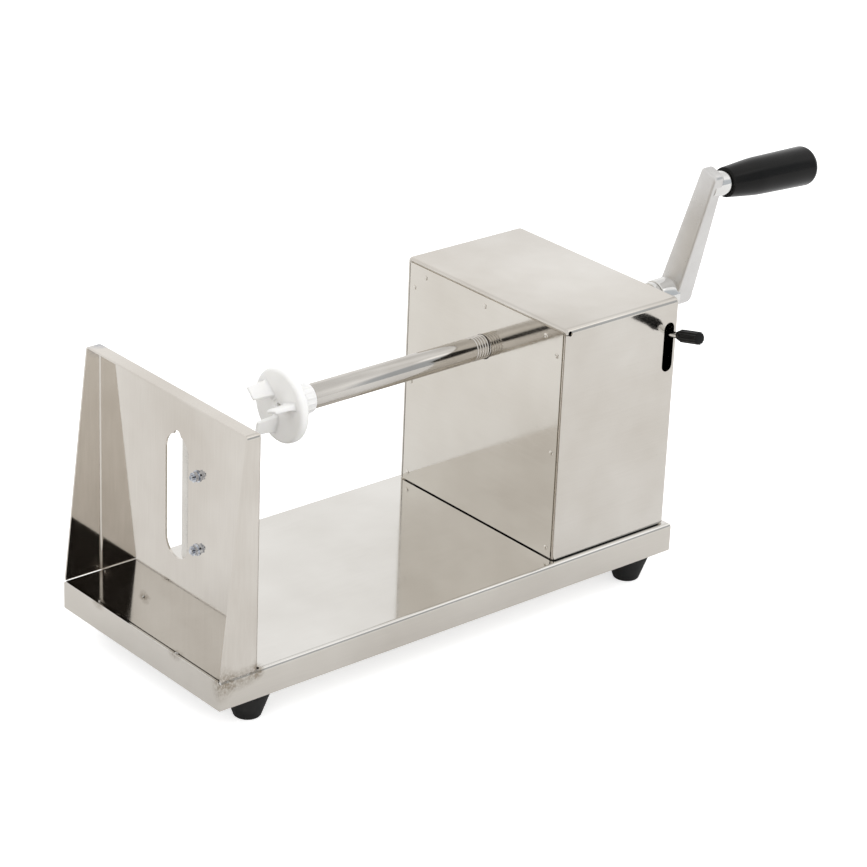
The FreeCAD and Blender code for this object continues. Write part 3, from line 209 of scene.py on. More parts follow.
def bakeTree(name, tree, values, points=((0, 0, 0),), numbers=None, place=None, sharp=None):
    # the tree's result as a plain mesh, from a carrier mesh of loose points with numbers on them
    mesh = bpy.data.meshes.new(name + "Points")
    mesh.from_pydata([tuple(p) for p in points], [], [])
    for label, row in (numbers or {}).items():
        mesh.attributes.new(label, "FLOAT", "POINT").data.foreach_set("value", row)
    carrier = bpy.data.objects.new(name + "Carrier", mesh)
    bpy.context.scene.collection.objects.link(carrier)
    modifier = carrier.modifiers.new("nodes", "NODES")
    modifier.node_group = tree
    for item in tree.interface.items_tree:
        if item.in_out == "INPUT" and item.name in values:
            modifier[item.identifier] = values[item.name]
    graph = bpy.context.evaluated_depsgraph_get()
    result = bpy.data.meshes.new_from_object(carrier.evaluated_get(graph), depsgraph=graph)
    carrier.modifiers.remove(modifier)
    bpy.data.objects.remove(carrier)
    result.name = name
    if place:
        result.transform(place)
    if sharp:
        result.set_sharp_from_angle(angle=math.radians(sharp))
    return result


# materials

def startMaterial(name):
    mat = bpy.data.materials.new(name)
    mat.use_nodes = True
    tree = mat.node_tree
    tree.nodes.clear()
    shader = tree.nodes.new("ShaderNodeBsdfPrincipled")
    addNode(tree, "ShaderNodeOutputMaterial", {"Surface": shader.outputs["BSDF"]})
    return mat, tree, shader


def coordinates(tree, stretch=(1, 1, 1), turn=(0, 0, 0), shift=(0, 0, 0)):
    here = addNode(tree, "ShaderNodeTexCoord")["Object"]
    inputs = {"Vector": here, "Location": shift, "Rotation": turn, "Scale": stretch}
    return addNode(tree, "ShaderNodeMapping", inputs)["Vector"]


def noiseOn(tree, vector, scale, detail=3.0, rough=0.55):
    inputs = {"Vector": vector, "Scale": scale, "Detail": detail, "Roughness": rough}
    return addNode(tree, "ShaderNodeTexNoise", inputs)["Fac"]


def rangeOf(tree, value, low, high, fromLow=0.3, fromHigh=0.7):
    inputs = {"Value": value, "From Min": fromLow, "From Max": fromHigh, "To Min": low, "To Max": high}
    return addNode(tree, "ShaderNodeMapRange", inputs)["Result"]


def summed(tree, first, second):
    return maths(tree, "ADD", first, second)


def mixed(tree, share, first, second, blend="MIX"):
    # either colour may be a triple or another node's output; sockets 6 and 7 are the colours
    ends = [c if isinstance(c, bpy.types.NodeSocket) else (*c, 1) for c in (first, second)]
    inputs = {0: share, 6: ends[0], 7: ends[1]}
    return addNode(tree, "ShaderNodeMix", inputs, data_type="RGBA", blend_type=blend)[2]


def bumps(tree, shader, *layers):
    below = {}
    for height, strength, distance in layers:
        inputs = {"Height": height, "Strength": strength, "Distance": distance, **below}
        below = {"Normal": addNode(tree, "ShaderNodeBump", inputs)["Normal"]}
    fill(tree, shader, below)


def blotch(tree, centre, radii):
    # fades from 1 at the centre to 0 at the radii, all in millimetres of the machine
    scale = [1000 / r for r in radii]
    shift = [-m * k for m, k in zip(spot(*centre), scale)]
    inputs = {"Vector": coordinates(tree, scale, shift=shift)}
    return addNode(tree, "ShaderNodeTexGradient", inputs, gradient_type="SPHERICAL")["Fac"]


def stained(tree, colour, stain):
    # heat tint and wire brush strokes round the stain's spots
    total = 0
    for centre, radii in stain["spots"]:
        total = summed(tree, total, rangeOf(tree, blotch(tree, centre, radii), 0, 1, 0.0, 0.6))
    strokes = noiseOn(tree, coordinates(tree, stain["strokes"], marks["strokeTurn"]), 1.0, 5.0, 0.7)
    worn = rangeOf(tree, strokes, 0.1 * stain["most"], stain["most"], 0.35, 0.62)
    share = maths(tree, "MULTIPLY", total, worn, clamp=True)
    return mixed(tree, share, colour, stain["tint"]), share


def paintShadeBelow(tree, colour, height, tint):
    # painted shade: below the given height the tray's skirts are coloured darker than its top, as sides that
    # face away from the light
    here = addNode(tree, "ShaderNodeTexCoord")["Object"]
    z = addNode(tree, "ShaderNodeSeparateXYZ", {"Vector": here})["Z"]
    return mixed(tree, rangeOf(tree, z, 1, 0, height - 0.0004, height), colour, tint, "MULTIPLY")


def metal(name, look):
    # grain is the stretch of the brushing lines, patches tint, smears and scuffs dull the polish
    mat, tree, shader = startMaterial(name)
    here = coordinates(tree)
    grain = noiseOn(tree, coordinates(tree, look["grain"]), 1.0, 4.0, 0.6)
    patches = noiseOn(tree, here, look["patchScale"], 3.0)
    smears = noiseOn(tree, here, look["smearScale"], 5.0, 0.65)
    scuffs = noiseOn(tree, coordinates(tree, marks["scuffs"], marks["scuffTurn"]), 1.0, 2.0)
    shade = summed(tree, rangeOf(tree, patches, 0, 0.8), rangeOf(tree, grain, 0, 0.2))
    colour = mixed(tree, shade, look["dark"], look["light"])
    low, high = look["roughness"]
    dull = summed(tree, rangeOf(tree, grain, low, low + (high - low) * 0.6),
                  rangeOf(tree, smears, 0, (high - low) * 0.4, 0.42, 0.7))
    worn = summed(tree, dull, rangeOf(tree, scuffs, 0, marks["scuffDull"], 0.62, 0.72))
    if "stains" in look:
        colour, share = stained(tree, colour, look["stains"])
        worn = summed(tree, worn, rangeOf(tree, share, 0, marks["stainDull"], 0.0, 1.0))
    if "blueing" in look:
        colour = stained(tree, colour, look["blueing"])[0]
    # painted shade: the colour is darkened below a given height
    if "shadeBelowColour" in look:
        colour = paintShadeBelow(tree, colour, look["shadeBelowHeight"], look["shadeBelowColour"])
    fill(tree, shader, {"Base Color": colour, "Metallic": 1.0, "Roughness": worn})
    bumps(tree, shader, (grain, look["grainBump"], marks["grainDepth"]),
          (patches, look["wave"], look.get("waveDepth", marks["waveDepth"])))
    return mat


def moulded(name, look):
    # plastic or rubber: faint flow marks in the colour, orange peel and dust in the gloss
    mat, tree, shader = startMaterial(name)
    here = coordinates(tree)
    flow = noiseOn(tree, coordinates(tree, marks["flow"]), 1.0, 3.0)
    fine = noiseOn(tree, here, look["fineScale"], 3.0, 0.6)
    dust = noiseOn(tree, here, marks["dustScale"], 4.0, 0.7)
    low, high = look["roughness"]
    gloss = summed(tree, rangeOf(tree, flow, low, (low + high) / 2),
                   rangeOf(tree, dust, 0, (high - low) / 2))
    colour = mixed(tree, rangeOf(tree, flow, 0, 1), look["dark"], look["light"])
    fill(tree, shader, {"Base Color": colour, "Roughness": gloss, "IOR": marks["plasticIor"],
                        "Specular IOR Level": look["specular"]})
    if "soft" in look:
        fill(tree, shader, {"Subsurface Weight": look["soft"], "Subsurface Scale": 1.0,
                            "Subsurface Radius": (0.004, 0.004, 0.0035)})
    bumps(tree, shader, (fine, look["fineBump"], marks["grainDepth"]),
          (flow, look["wave"], marks["flowDepth"]))
    return mat


# what the finishes share: stretch and turn of scuffs, strokes and flow marks, depths in metres, and wear
marks = {"scuffs": (180, 420, 300), "scuffTurn": (0.5, 0.3, 0.8), "scuffDull": 0.03, "stainDull": 0.25,
         "strokeTurn": (0.3, 0.6, 0.2), "grainDepth": 0.0002, "waveDepth": 0.001, "flow": (40, 90, 90),
         "flowDepth": 0.0006, "dustScale": 160, "plasticIor": 1.49}
# spots are (centre, radii) in millimetres of the machine
heatTint = {"spots": [((2, -97, 42), (14, 10, 16)), ((17, -98, 42), (24, 6, 10)), ((34, -97, 44), (6, 8, 8)),
                      ((1, 53, 44), (5, 9, 6)), ((1, -43, 44), (5, 9, 6)), ((33, 90, 46), (7, 9, 9)),
                      ((33, 40, 45), (5, 7, 6)), ((33, -93, 46), (9, 12, 10))],
            "tint": (0.36, 0.315, 0.26), "strokes": (520, 700, 420), "most": 0.75}
cornerTint = {"spots": [((31, 95, 227), (11, 10, 10))], "tint": (0.22, 0.27, 0.38), "strokes": (90, 90, 90),
              "most": 0.8}
looks = {
    "housingSheet": {"grain": (30, 30, 1500), "patchScale": 11, "smearScale": 30, "roughness": (0.07, 0.17),
                     "dark": (0.61, 0.57, 0.515), "light": (0.735, 0.705, 0.66), "grainBump": 0.012,
                     "wave": 0.045, "waveDepth": 0.0008},
    "panelSheet": {"grain": (500, 30, 1500), "patchScale": 9, "smearScale": 26, "roughness": (0.05, 0.13),
                   "dark": (0.66, 0.62, 0.56), "light": (0.765, 0.735, 0.68), "grainBump": 0.010,
                   "wave": 0.04, "waveDepth": 0.0008},
    # traySheet's last two entries paint shade: below that height its skirts are coloured darker
    "traySheet": {"grain": (40, 1400, 1400), "patchScale": 9, "smearScale": 30, "roughness": (0.05, 0.13),
                  "dark": (0.66, 0.635, 0.595), "light": (0.775, 0.755, 0.72), "grainBump": 0.012,
                  "wave": 0.03, "waveDepth": 0.0006, "stains": heatTint, "shadeBelowHeight": 0.0436,
                  "shadeBelowColour": (0.93, 0.91, 0.885)},
    "standSheet": {"grain": (500, 1400, 40), "patchScale": 8, "smearScale": 24, "roughness": (0.03, 0.08),
                   "dark": (0.575, 0.53, 0.475), "light": (0.745, 0.71, 0.66), "grainBump": 0.008,
                   "wave": 0.03, "waveDepth": 0.0006, "stains": heatTint, "blueing": cornerTint},
    # bladeSteel's colours are set darker than the stand's sheet: a painted dark reflection of the slot's
    # edge in the blade
    "bladeSteel": {"grain": (2200, 2200, 60), "patchScale": 20, "smearScale": 60, "roughness": (0.08, 0.2),
                   "dark": (0.52, 0.49, 0.44), "light": (0.64, 0.61, 0.56), "grainBump": 0.05, "wave": 0.02},
    "tubeSteel": {"grain": (40, 1800, 1800), "patchScale": 14, "smearScale": 50, "roughness": (0.06, 0.16),
                  "dark": (0.54, 0.51, 0.47), "light": (0.70, 0.675, 0.64), "grainBump": 0.02,
                  "wave": 0.02},
    "zincPlate": {"grain": (700, 700, 700), "patchScale": 420, "smearScale": 200, "roughness": (0.10, 0.22),
                  "dark": (0.16, 0.18, 0.22), "light": (0.86, 0.88, 0.92), "grainBump": 0.02, "wave": 0.03,
                  "waveDepth": 0.0002},
    "castAlloy": {"grain": (500, 500, 500), "patchScale": 24, "smearScale": 70, "roughness": (0.26, 0.40),
                  "dark": (0.66, 0.645, 0.63), "light": (0.76, 0.75, 0.735), "grainBump": 0.02, "wave": 0.05,
                  "waveDepth": 0.0004},
    "turnedAlloy": {"grain": (2500, 60, 60), "patchScale": 25, "smearScale": 90, "roughness": (0.08, 0.16),
                    "dark": (0.74, 0.73, 0.71), "light": (0.86, 0.855, 0.84), "grainBump": 0.015,
                    "wave": 0.02},
    "weldMetal": {"grain": (500, 500, 500), "patchScale": 420, "smearScale": 300, "roughness": (0.2, 0.45),
                  "dark": (0.22, 0.20, 0.18), "light": (0.84, 0.83, 0.81), "grainBump": 0.2, "wave": 0.2,
                  "waveDepth": 0.0003},
    "burntSeam": {"grain": (400, 400, 400), "patchScale": 300, "smearScale": 200, "roughness": (0.4, 0.7),
                  "dark": (0.03, 0.028, 0.025), "light": (0.12, 0.10, 0.085), "grainBump": 0.2, "wave": 0.1,
                  "waveDepth": 0.0002}}
finishes = {name: metal(name, look) for name, look in looks.items()}
mouldings = {
    "whiteNylon": {"fineScale": 900, "roughness": (0.30, 0.42), "dark": (0.945, 0.94, 0.92),
                   "light": (0.975, 0.97, 0.955), "fineBump": 0.02, "soft": 0.2, "wave": 0.05,
                   "specular": 0.5},
    "blackGloss": {"fineScale": 700, "roughness": (0.16, 0.26), "dark": (0.003, 0.003, 0.003),
                   "light": (0.007, 0.0065, 0.006), "fineBump": 0.03, "wave": 0.03, "specular": 0.17},
    "blackKnob": {"fineScale": 900, "roughness": (0.26, 0.40), "dark": (0.003, 0.003, 0.003),
                  "light": (0.008, 0.008, 0.008), "fineBump": 0.06, "wave": 0.04, "specular": 0.2},
    "blackRubber": {"fineScale": 1400, "roughness": (0.46, 0.66), "dark": (0.007, 0.007, 0.007),
                    "light": (0.016, 0.0155, 0.015), "fineBump": 0.12, "wave": 0.05, "specular": 0.22}}
finishes.update({name: moulded(name, look) for name, look in mouldings.items()})
nodeFinish = {
    "traySheet": ("base_tray", "end_skirt"),
    "standSheet": ("blade_stand",),
    "housingSheet": ("housing_shell", "shaft_carrier", "clutch_bracket"),
    "panelSheet": ("front_panel", "rear_panel", "front_rivets", "rear_rivets"),
    "bladeSteel": ("cutting_blade",),
    "tubeSteel": ("feed_tube", "clutch_plate", "clutch_spring"),
    "zincPlate": ("foot_screws", "foot_nuts", "blade_screws", "blade_washers", "blade_nuts",
                  "half_nut_screws", "pivot_pin", "pivot_clip", "chuck_screw", "arm_screw", "grip_spindle"),
    "turnedAlloy": ("clutch_rod",),
    "castAlloy": ("crank_arm",),
    "whiteNylon": ("chuck", "front_bush", "rear_bush", "half_nut"),
    "blackGloss": ("grip",),
    "blackKnob": ("clutch_knob",),
    "blackRubber": ("foot_front_near", "foot_front_far", "foot_rear_near", "foot_rear_far", "stop_ring")}
for finish, names in nodeFinish.items():
    for name in names:
        nodes[name].data.materials.clear()
        nodes[name].data.materials.append(finishes[finish])
print("materials done,", len(finishes))


# coil of round wire, for the tube's thread and the lever's return spring
wireSides = 10


def coilTree(finish):
    tree, size = startTree("coil", [
        ("Turns", "Float", 10.0), ("Height", "Float", 0.05), ("Coil Radius", "Float", 0.008),
        ("Wire Radius", "Float", 0.001), ("Points Per Turn", "Int", 48)])
    spiral = addNode(tree, "GeometryNodeCurveSpiral", {
        "Rotations": size["Turns"], "Height": size["Height"], "Start Radius": size["Coil Radius"],
        "End Radius": size["Coil Radius"], "Resolution": size["Points Per Turn"]})["Curve"]
    wire = addNode(tree, "GeometryNodeCurvePrimitiveCircle",
                   {"Resolution": wireSides, "Radius": size["Wire Radius"]})["Curve"]
    sweep = addNode(tree, "GeometryNodeCurveToMesh",
                    {"Curve": spiral, "Profile Curve": wire, "Fill Caps": True})["Mesh"]
    return endTree(tree, sweep, finish)


# feed tube with its rolled thread
tube = {"start": 134, "end": 528, "radius": 9.5, "bore": 8, "chamfer": 0.4, "axisHeight": 190.5,
        "threadStart": 305, "threadEnd": 497, "runIn": 3, "runOut": 2, "lead": 5, "starts": 2, "core": 8.95,
        "crestCentre": 8.72, "crest": 0.78, "turnPoints": 48}
axisBase = spot(0, 0, tube["axisHeight"])
toTheCrank = Vector((1, 0, 0))


def ontoTube(x):
    # takes what stands on Z at the origin to the tube's line, from x on
    return Matrix.Translation(spot(x, 0, tube["axisHeight"])) @ Matrix.Rotation(math.radians(90), 4, "Y")


def makeTube():
    t = tube
    outline = [(t["start"], t["bore"]), (t["start"], t["radius"] - t["chamfer"]),
               (t["start"] + t["chamfer"], t["radius"]), (t["threadStart"] - t["runIn"], t["radius"]),
               (t["threadStart"], t["core"]), (t["threadEnd"], t["core"]),
               (t["threadEnd"] + t["runOut"], t["radius"]), (t["end"], t["radius"]), (t["end"], t["bore"])]
    solidPiece("feedTube", turned(outline, axisBase, toTheCrank), "tubeSteel", "shaft",
               ["feed_tube"], 50)
    length = t["threadEnd"] - t["threadStart"] - 2 * t["crest"]
    coils = []
    for start in range(t["starts"]):
        turn = Matrix.Rotation(2 * math.pi * start / t["starts"], 4, "Z")
        coil = bakeTree("crest%d" % start, coilTree(finishes["tubeSteel"]), {
            "Turns": length / t["lead"], "Height": length / 1000, "Coil Radius": t["crestCentre"] / 1000,
            "Wire Radius": t["crest"] / 1000, "Points Per Turn": t["turnPoints"]},
            place=ontoTube(t["threadStart"] + t["crest"]) @ turn)
        coils.append(shapeOf(coil))
    solidPiece("threadCrests", joined(*coils), "tubeSteel", "shaft", sharp=60)
    print("tube and thread done")


makeTube()

# chuck: moulded disc, three fins round the skewer's hole, ribbed hub
chuckForm = {"face": 122, "disc": 8, "rim": 28.75, "rimRound": 3.0, "hub": 11.4, "hubRoot": 2.6,
             "rootMiddle": 0.8, "end": 150, "hole": 2.5, "eyeDepth": 0.9, "eyeFloor": 2.2, "eyeRim": 3.6,
             "seat": 134, "finInner": 8.6, "finOuter": 21.5, "finLength": 17, "finRoot": 4, "finTip": 2.6,
             "finTaper": 0.7, "fins": 3, "turn": 42, "ribs": 16, "rib": 1.2, "ribSunk": 0.5, "ribStart": 133,
             "ribEnd": 148.6}


def finShape(c, angle):
    # sections from the flared root in the disc out to the rounded tip: distance, flare, share of the taper
    out = Vector((0, math.cos(angle), math.sin(angle)))
    side = Vector((0, -math.sin(angle), math.cos(angle)))
    tip = -c["finLength"]
    steps = [(1.2, 1.4, 0), (0, 1.4, 0), (-0.35, 0.75, 0), (-0.9, 0.3, 0), (-1.7, 0, 0.05),
             (tip + 1.2, 0, 0.93), (tip + 0.45, -0.28, 0.97), (tip, -0.85, 1)]
    rings = []
    for shift, flare, share in steps:
        half = (c["finRoot"] + (c["finTip"] - c["finRoot"]) * share) / 2 + flare
        low = c["finInner"] + c["finTaper"] * share - flare
        high = c["finOuter"] - c["finTaper"] * share + flare
        corner = min(0.9, half * 0.8)
        section = roundCorners([(low, -half, corner), (high, -half, corner), (high, half, corner),
                                (low, half, corner)], 4)
        centre = spot(c["face"] + shift, 0, tube["axisHeight"])
        rings.append([centre + out * (u / 1000) + side * (w / 1000) for u, w in section])
    return skin(rings)


ribSides = 12


def ribTree(finish):
    tree, size = startTree("ribRing", [
        ("Count", "Int", 16), ("Ring Radius", "Float", 0.011), ("Rib Radius", "Float", 0.001),
        ("Length", "Float", 0.015)])
    circle = addNode(tree, "GeometryNodeMeshCircle",
                     {"Vertices": size["Count"], "Radius": size["Ring Radius"]})["Mesh"]
    bar = addNode(tree, "GeometryNodeMeshCylinder",
                  {"Vertices": ribSides, "Radius": size["Rib Radius"], "Depth": size["Length"]})["Mesh"]
    smooth = addNode(tree, "GeometryNodeSetShadeSmooth", {"Geometry": bar})["Geometry"]
    ribs = addNode(tree, "GeometryNodeInstanceOnPoints", {"Points": circle, "Instance": smooth})["Instances"]
    return endTree(tree, ribs, finish)


def makeChuck():
    c = chuckForm
    back = c["face"] + c["disc"]
    eye = c["face"] + c["eyeDepth"]
    outline = roundCorners([
        (eye, c["hole"], 0.3), (eye, c["hole"] + c["eyeFloor"], 0.5),
        (c["face"], c["hole"] + c["eyeRim"], 0.6), (c["face"], c["rim"], c["rimRound"]),
        (back, c["rim"], c["rimRound"]), (back, c["hub"] + c["hubRoot"]),
        (back + c["rootMiddle"], c["hub"] + c["rootMiddle"]), (back + c["hubRoot"], c["hub"]),
        (c["end"], c["hub"], 0.8), (c["end"], tube["radius"]), (c["seat"], tube["radius"]),
        (c["seat"], c["hole"])], 6)
    disc = turned(outline, axisBase, toTheCrank, 128)
    fins = [finShape(c, math.radians(c["turn"] + 360 / c["fins"] * k)) for k in range(c["fins"])]
    solidPiece("chuckBody", joined(disc, *fins), "whiteNylon", "shaft", ["chuck"])
    length = c["ribEnd"] - c["ribStart"]
    ribs = bakeTree("chuckRibs", ribTree(finishes["whiteNylon"]), {
        "Count": c["ribs"], "Ring Radius": (c["hub"] - c["rib"] + c["ribSunk"]) / 1000,
        "Rib Radius": c["rib"] / 1000, "Length": length / 1000},
        place=ontoTube((c["ribStart"] + c["ribEnd"]) / 2), sharp=50)
    addPiece("chuckRibs", ribs, "shaft")
    print("chuck done")


makeChuck()

# crank arm: boss on the tube, tapering square-edged arm, collar that holds the grip's spindle
arm = {"innerFace": 515, "innerRoot": -1.1, "innerTip": -2.4, "outerRoot": 17, "outerTip": 7.4,
       "hub": 11.9, "rootWidth": 22.4, "tipWidth": 18, "length": 119.8, "tipCorner": 4.5, "edge": 1.9,
       "lean": 18.5, "bossStart": 499.5, "boss": 13, "bossEdge": 0.8, "bossRoot": 0.6,
       "bossRootLength": 1.2, "spindle": 5,
       "spindleRadius": 105.8, "cant": 2.9, "collar": 10, "collarStart": 1, "collarEnd": 19.3}
lean = math.radians(arm["lean"])
cant = math.radians(arm["cant"])
alongArm = Vector((0, -math.sin(lean), math.cos(lean)))
acrossArm = Vector((0, math.cos(lean), math.sin(lean)))
gripLine = Vector((math.cos(cant), math.sin(cant) * math.sin(lean), -math.sin(cant) * math.cos(lean)))
gripBase = spot(arm["innerFace"], 0, tube["axisHeight"]) + alongArm * (arm["spindleRadius"] / 1000)


def armOutline():
    # closed outline in (across, along), with its normals, from the hub's right side round to its left
    a = arm
    root, tip, c = a["rootWidth"] / 2, a["tipWidth"] / 2, a["tipCorner"]
    start = math.sqrt(a["hub"] ** 2 - root ** 2)
    low, high = math.pi - math.atan2(start, root), 2 * math.pi + math.atan2(start, root)
    points = []
    for k in range(25):
        angle = low + (high - low) * k / 24
        points.append((a["hub"] * math.cos(angle), a["hub"] * math.sin(angle)))
    shares = (0.04, 0.3, 0.65)
    side = [(root + (tip - root) * share, start + (a["length"] - start) * share) for share in shares]
    points += side
    for centre, first in ((tip - c, 0), (c - tip, 90)):
        points += [(centre + u, a["length"] - c + v) for u, v in arc(c, first, first + 90, 6)]
    points += [(-u, v) for u, v in reversed(side)]
    normals = []
    for i, here in enumerate(points):
        before, after = points[i - 1], points[(i + 1) % len(points)]
        step = Vector((after[0] - before[0], after[1] - before[1])).normalized()
        normals.append((step.y, -step.x))
    return points, normals


def makeArm():
    a = arm
    points, normals = armOutline()
    base = spot(a["innerFace"], 0, tube["axisHeight"])
    rings = []
    rounding = [(math.sin(math.radians(t)), math.cos(math.radians(t))) for t in (0, 22, 45, 68, 90)]
    for outer in (False, True):
        for s, c in (reversed(rounding) if outer else rounding):
            ring = []
            for (u, v), (nu, nv) in zip(points, normals):
                inset = a["edge"] * (1 - s)
                share = max(0, v - a["hub"]) / (a["length"] - a["hub"])
                near = a["innerRoot"] + (a["innerTip"] - a["innerRoot"]) * share
                far = a["outerRoot"] + (a["outerTip"] - a["outerRoot"]) * share
                x = far - a["edge"] * (1 - c) if outer else near + a["edge"] * (1 - c)
                ring.append(base + toTheCrank * (x / 1000) + acrossArm * ((u - nu * inset) / 1000)
                            + alongArm * ((v - nv * inset) / 1000))
            rings.append(ring)
    plate = skin(rings)
    face, boss, seat = a["innerFace"], a["boss"], tube["radius"]
    bossShape = turned(roundCorners([
        (a["bossStart"], seat), (a["bossStart"], boss, a["bossEdge"]), (face - a["bossRootLength"], boss),
        (face - 0.3, boss + 0.5), (face + 1, boss + a["bossRoot"]), (face + 1, seat)]), axisBase, toTheCrank)
    collarShape = turned(roundCorners([
        (a["collarStart"], a["spindle"]), (a["collarStart"], a["collar"]),
        (a["collarEnd"], a["collar"], 1.0), (a["collarEnd"], a["spindle"])]), gripBase, gripLine, 72)
    verts, faces = joined(plate, bossShape, collarShape)
    cast = len(plate[1])
    groups = [0] * cast + [1] * (len(faces) - cast)
    mesh = finishMesh("crankArm", verts, faces, [finishes["castAlloy"], finishes["turnedAlloy"]], groups, 40)
    addPiece("crankArm", mesh, "shaft", ["crank_arm"])
    print("crank arm done")


makeArm()

# grip: machine handle in two tapers with a round end
grip = {"start": 19.7, "end": 115.7, "bore": 5.06, "small": 12, "edge": 1.4, "waist": 51.7,
        "waistRadius": 15.1, "waistRound": 160, "large": 16, "roundStart": 108.5, "flat": 5, "fullness": 0.8,
        "endWall": 4}


def makeGrip():
    g = grip
    length = g["end"] - g["roundStart"]
    roundEnd = []
    for k in range(13):
        turn = math.radians(90 * k / 12)
        roundEnd.append((g["roundStart"] + length * math.sin(turn),
                         g["flat"] + (g["large"] - g["flat"]) * math.cos(turn) ** g["fullness"]))
    bottom = g["end"] - g["endWall"]
    outline = roundCorners([(g["start"], g["bore"]), (g["start"], g["small"], g["edge"]),
                            (g["waist"], g["waistRadius"], g["waistRound"]), *roundEnd, (g["end"], 0),
                            (bottom, 0), (bottom, g["bore"])], 8)
    solidPiece("crankGrip", turned(outline, gripBase, gripLine), "blackGloss", "grip",
               ["grip"])
    print("grip done")


makeGrip()

# release knob, ribbed along its length
knob = {"plane": 425.9, "start": 105.6, "length": 23.8, "radius": 5.1, "bore": 2.5, "angle": 13, "drop": 4.7,
        "ribs": 12, "rib": 1.05, "core": 4.7, "lip": 3.4, "neck": 4.0, "neckAt": 1.6, "coreAt": 3.8,
        "boreEnd": 12, "ribInset": 1.2}


def makeKnob():
    k = knob
    angle = math.radians(k["angle"])
    line = Vector((0, -math.cos(angle), math.sin(angle)))
    base = spot(k["plane"], 0, tube["axisHeight"] - k["drop"]) + line * (k["start"] / 1000)
    core = k["core"]
    outline = roundCorners([
        (0, k["bore"]), (0, k["lip"], 0.4), (k["neckAt"], k["neck"], 0.8), (k["coreAt"], core, 1.5),
        (k["length"], core, 1.6), (k["length"], 0), (k["boreEnd"], 0), (k["boreEnd"], k["bore"])], 5)
    solidPiece("releaseKnob", turned(outline, base, line, 72), "blackKnob", "clutch",
               ["clutch_knob"])
    turnUp = Vector((0, 0, 1)).rotation_difference(line).to_matrix().to_4x4()
    ribEnd = k["length"] - k["ribInset"]
    place = Matrix.Translation(base + line * ((k["coreAt"] + ribEnd) / 2 / 1000)) @ turnUp
    ribs = bakeTree("knobRibs", ribTree(finishes["blackKnob"]), {
        "Count": k["ribs"], "Ring Radius": (k["radius"] - k["rib"]) / 1000, "Rib Radius": k["rib"] / 1000,
        "Length": (ribEnd - k["coreAt"]) / 1000}, place=place, sharp=50)
    addPiece("knobRibs", ribs, "clutch")
    print("knob done")


makeKnob()

# feet: tapered rubber with a recess for the screw
foot = {"places": {"foot_front_near": (37.5, -80.5), "foot_front_far": (37.5, 80.5),
                   "foot_rear_near": (410, -80.5), "foot_rear_far": (410, 80.5)},
        "height": 21.5, "top": 16.75, "topBand": 2.2, "base": 10, "recess": 6, "depth": 9, "bore": 2.6}


def makeFeet():
    f = foot
    outline = roundCorners([
        (0, f["recess"], 0.8), (0, f["base"], 1.4), (f["height"] - f["topBand"], f["top"], 2.0),
        (f["height"], f["top"], 0.5), (f["height"], f["bore"]), (f["depth"], f["bore"]),
        (f["depth"], f["recess"])], 4)
    for name, (x, y) in f["places"].items():
        side = name.replace("foot_", "").title().replace("_", "")
        solidPiece("foot" + side, turned(outline, spot(x, y, 0), (0, 0, 1), 72), "blackRubber", "frame",
                   [name])
    print("feet done")


makeFeet()

# rivets of the housing's end panels
rivets = {"faces": {"front": 319, "rear": 435}, "radius": 2.1, "height": 0.8, "topHeight": 223.5,
          "topStep": 70, "side": 83, "sideHeights": (211.5, 132, 52.5), "sides": 24, "rings": 12}


def rivetTree(finish):
    # a dome on a flange half as high, both along X
    tree, size = startTree("rivetHeads", [("Radius", "Float", 0.002), ("Height", "Float", 0.0008)])
    ball = addNode(tree, "GeometryNodeMeshUVSphere",
                   {"Segments": rivets["sides"], "Rings": rivets["rings"], "Radius": 1.0})["Mesh"]
    form = addNode(tree, "ShaderNodeCombineXYZ",
                   {"X": size["Height"], "Y": size["Radius"], "Z": size["Radius"]})["Vector"]
    dome = addNode(tree, "GeometryNodeTransform", {"Geometry": ball, "Scale": form})["Geometry"]
    disc = addNode(tree, "GeometryNodeMeshCylinder", {
        "Vertices": rivets["sides"], "Radius": size["Radius"],
        "Depth": maths(tree, "MULTIPLY", size["Height"], 0.5)})["Mesh"]
    flange = addNode(tree, "GeometryNodeTransform",
                     {"Geometry": disc, "Rotation": (0, math.pi / 2, 0)})["Geometry"]
    both = tree.nodes.new("GeometryNodeJoinGeometry")
    fill(tree, both, {"Geometry": dome})
    fill(tree, both, {"Geometry": flange})
    smooth = addNode(tree, "GeometryNodeSetShadeSmooth", {"Geometry": both.outputs["Geometry"]})["Geometry"]
    heads = addNode(tree, "GeometryNodeInstanceOnPoints", {"Points": size["Geometry"], "Instance": smooth})
    return endTree(tree, heads["Instances"], finish)


def makeRivets():
    r = rivets
    rows = [(y, r["topHeight"]) for y in (-r["topStep"], 0, r["topStep"])]
    rows += [(y, z) for y in (-r["side"], r["side"]) for z in r["sideHeights"]]
    for end, face in r["faces"].items():
        name = end + "RivetHeads"
        mesh = bakeTree(name, rivetTree(finishes["panelSheet"]),
                        {"Radius": r["radius"] / 1000, "Height": r["height"] / 1000},
                        [spot(face, y, z) for y, z in rows], sharp=40)
        addPiece(name, mesh, "frame", [end + "_rivets"])
    print("rivets done")


makeRivets()

# return spring under the lever, built at one length; the real spring shortens as the lever goes down
spring = {"low": 135.5, "high": 157.3, "radius": 2.9, "wire": 0.45, "turns": 8, "turnPoints": 32,
          "keep": 0.85}


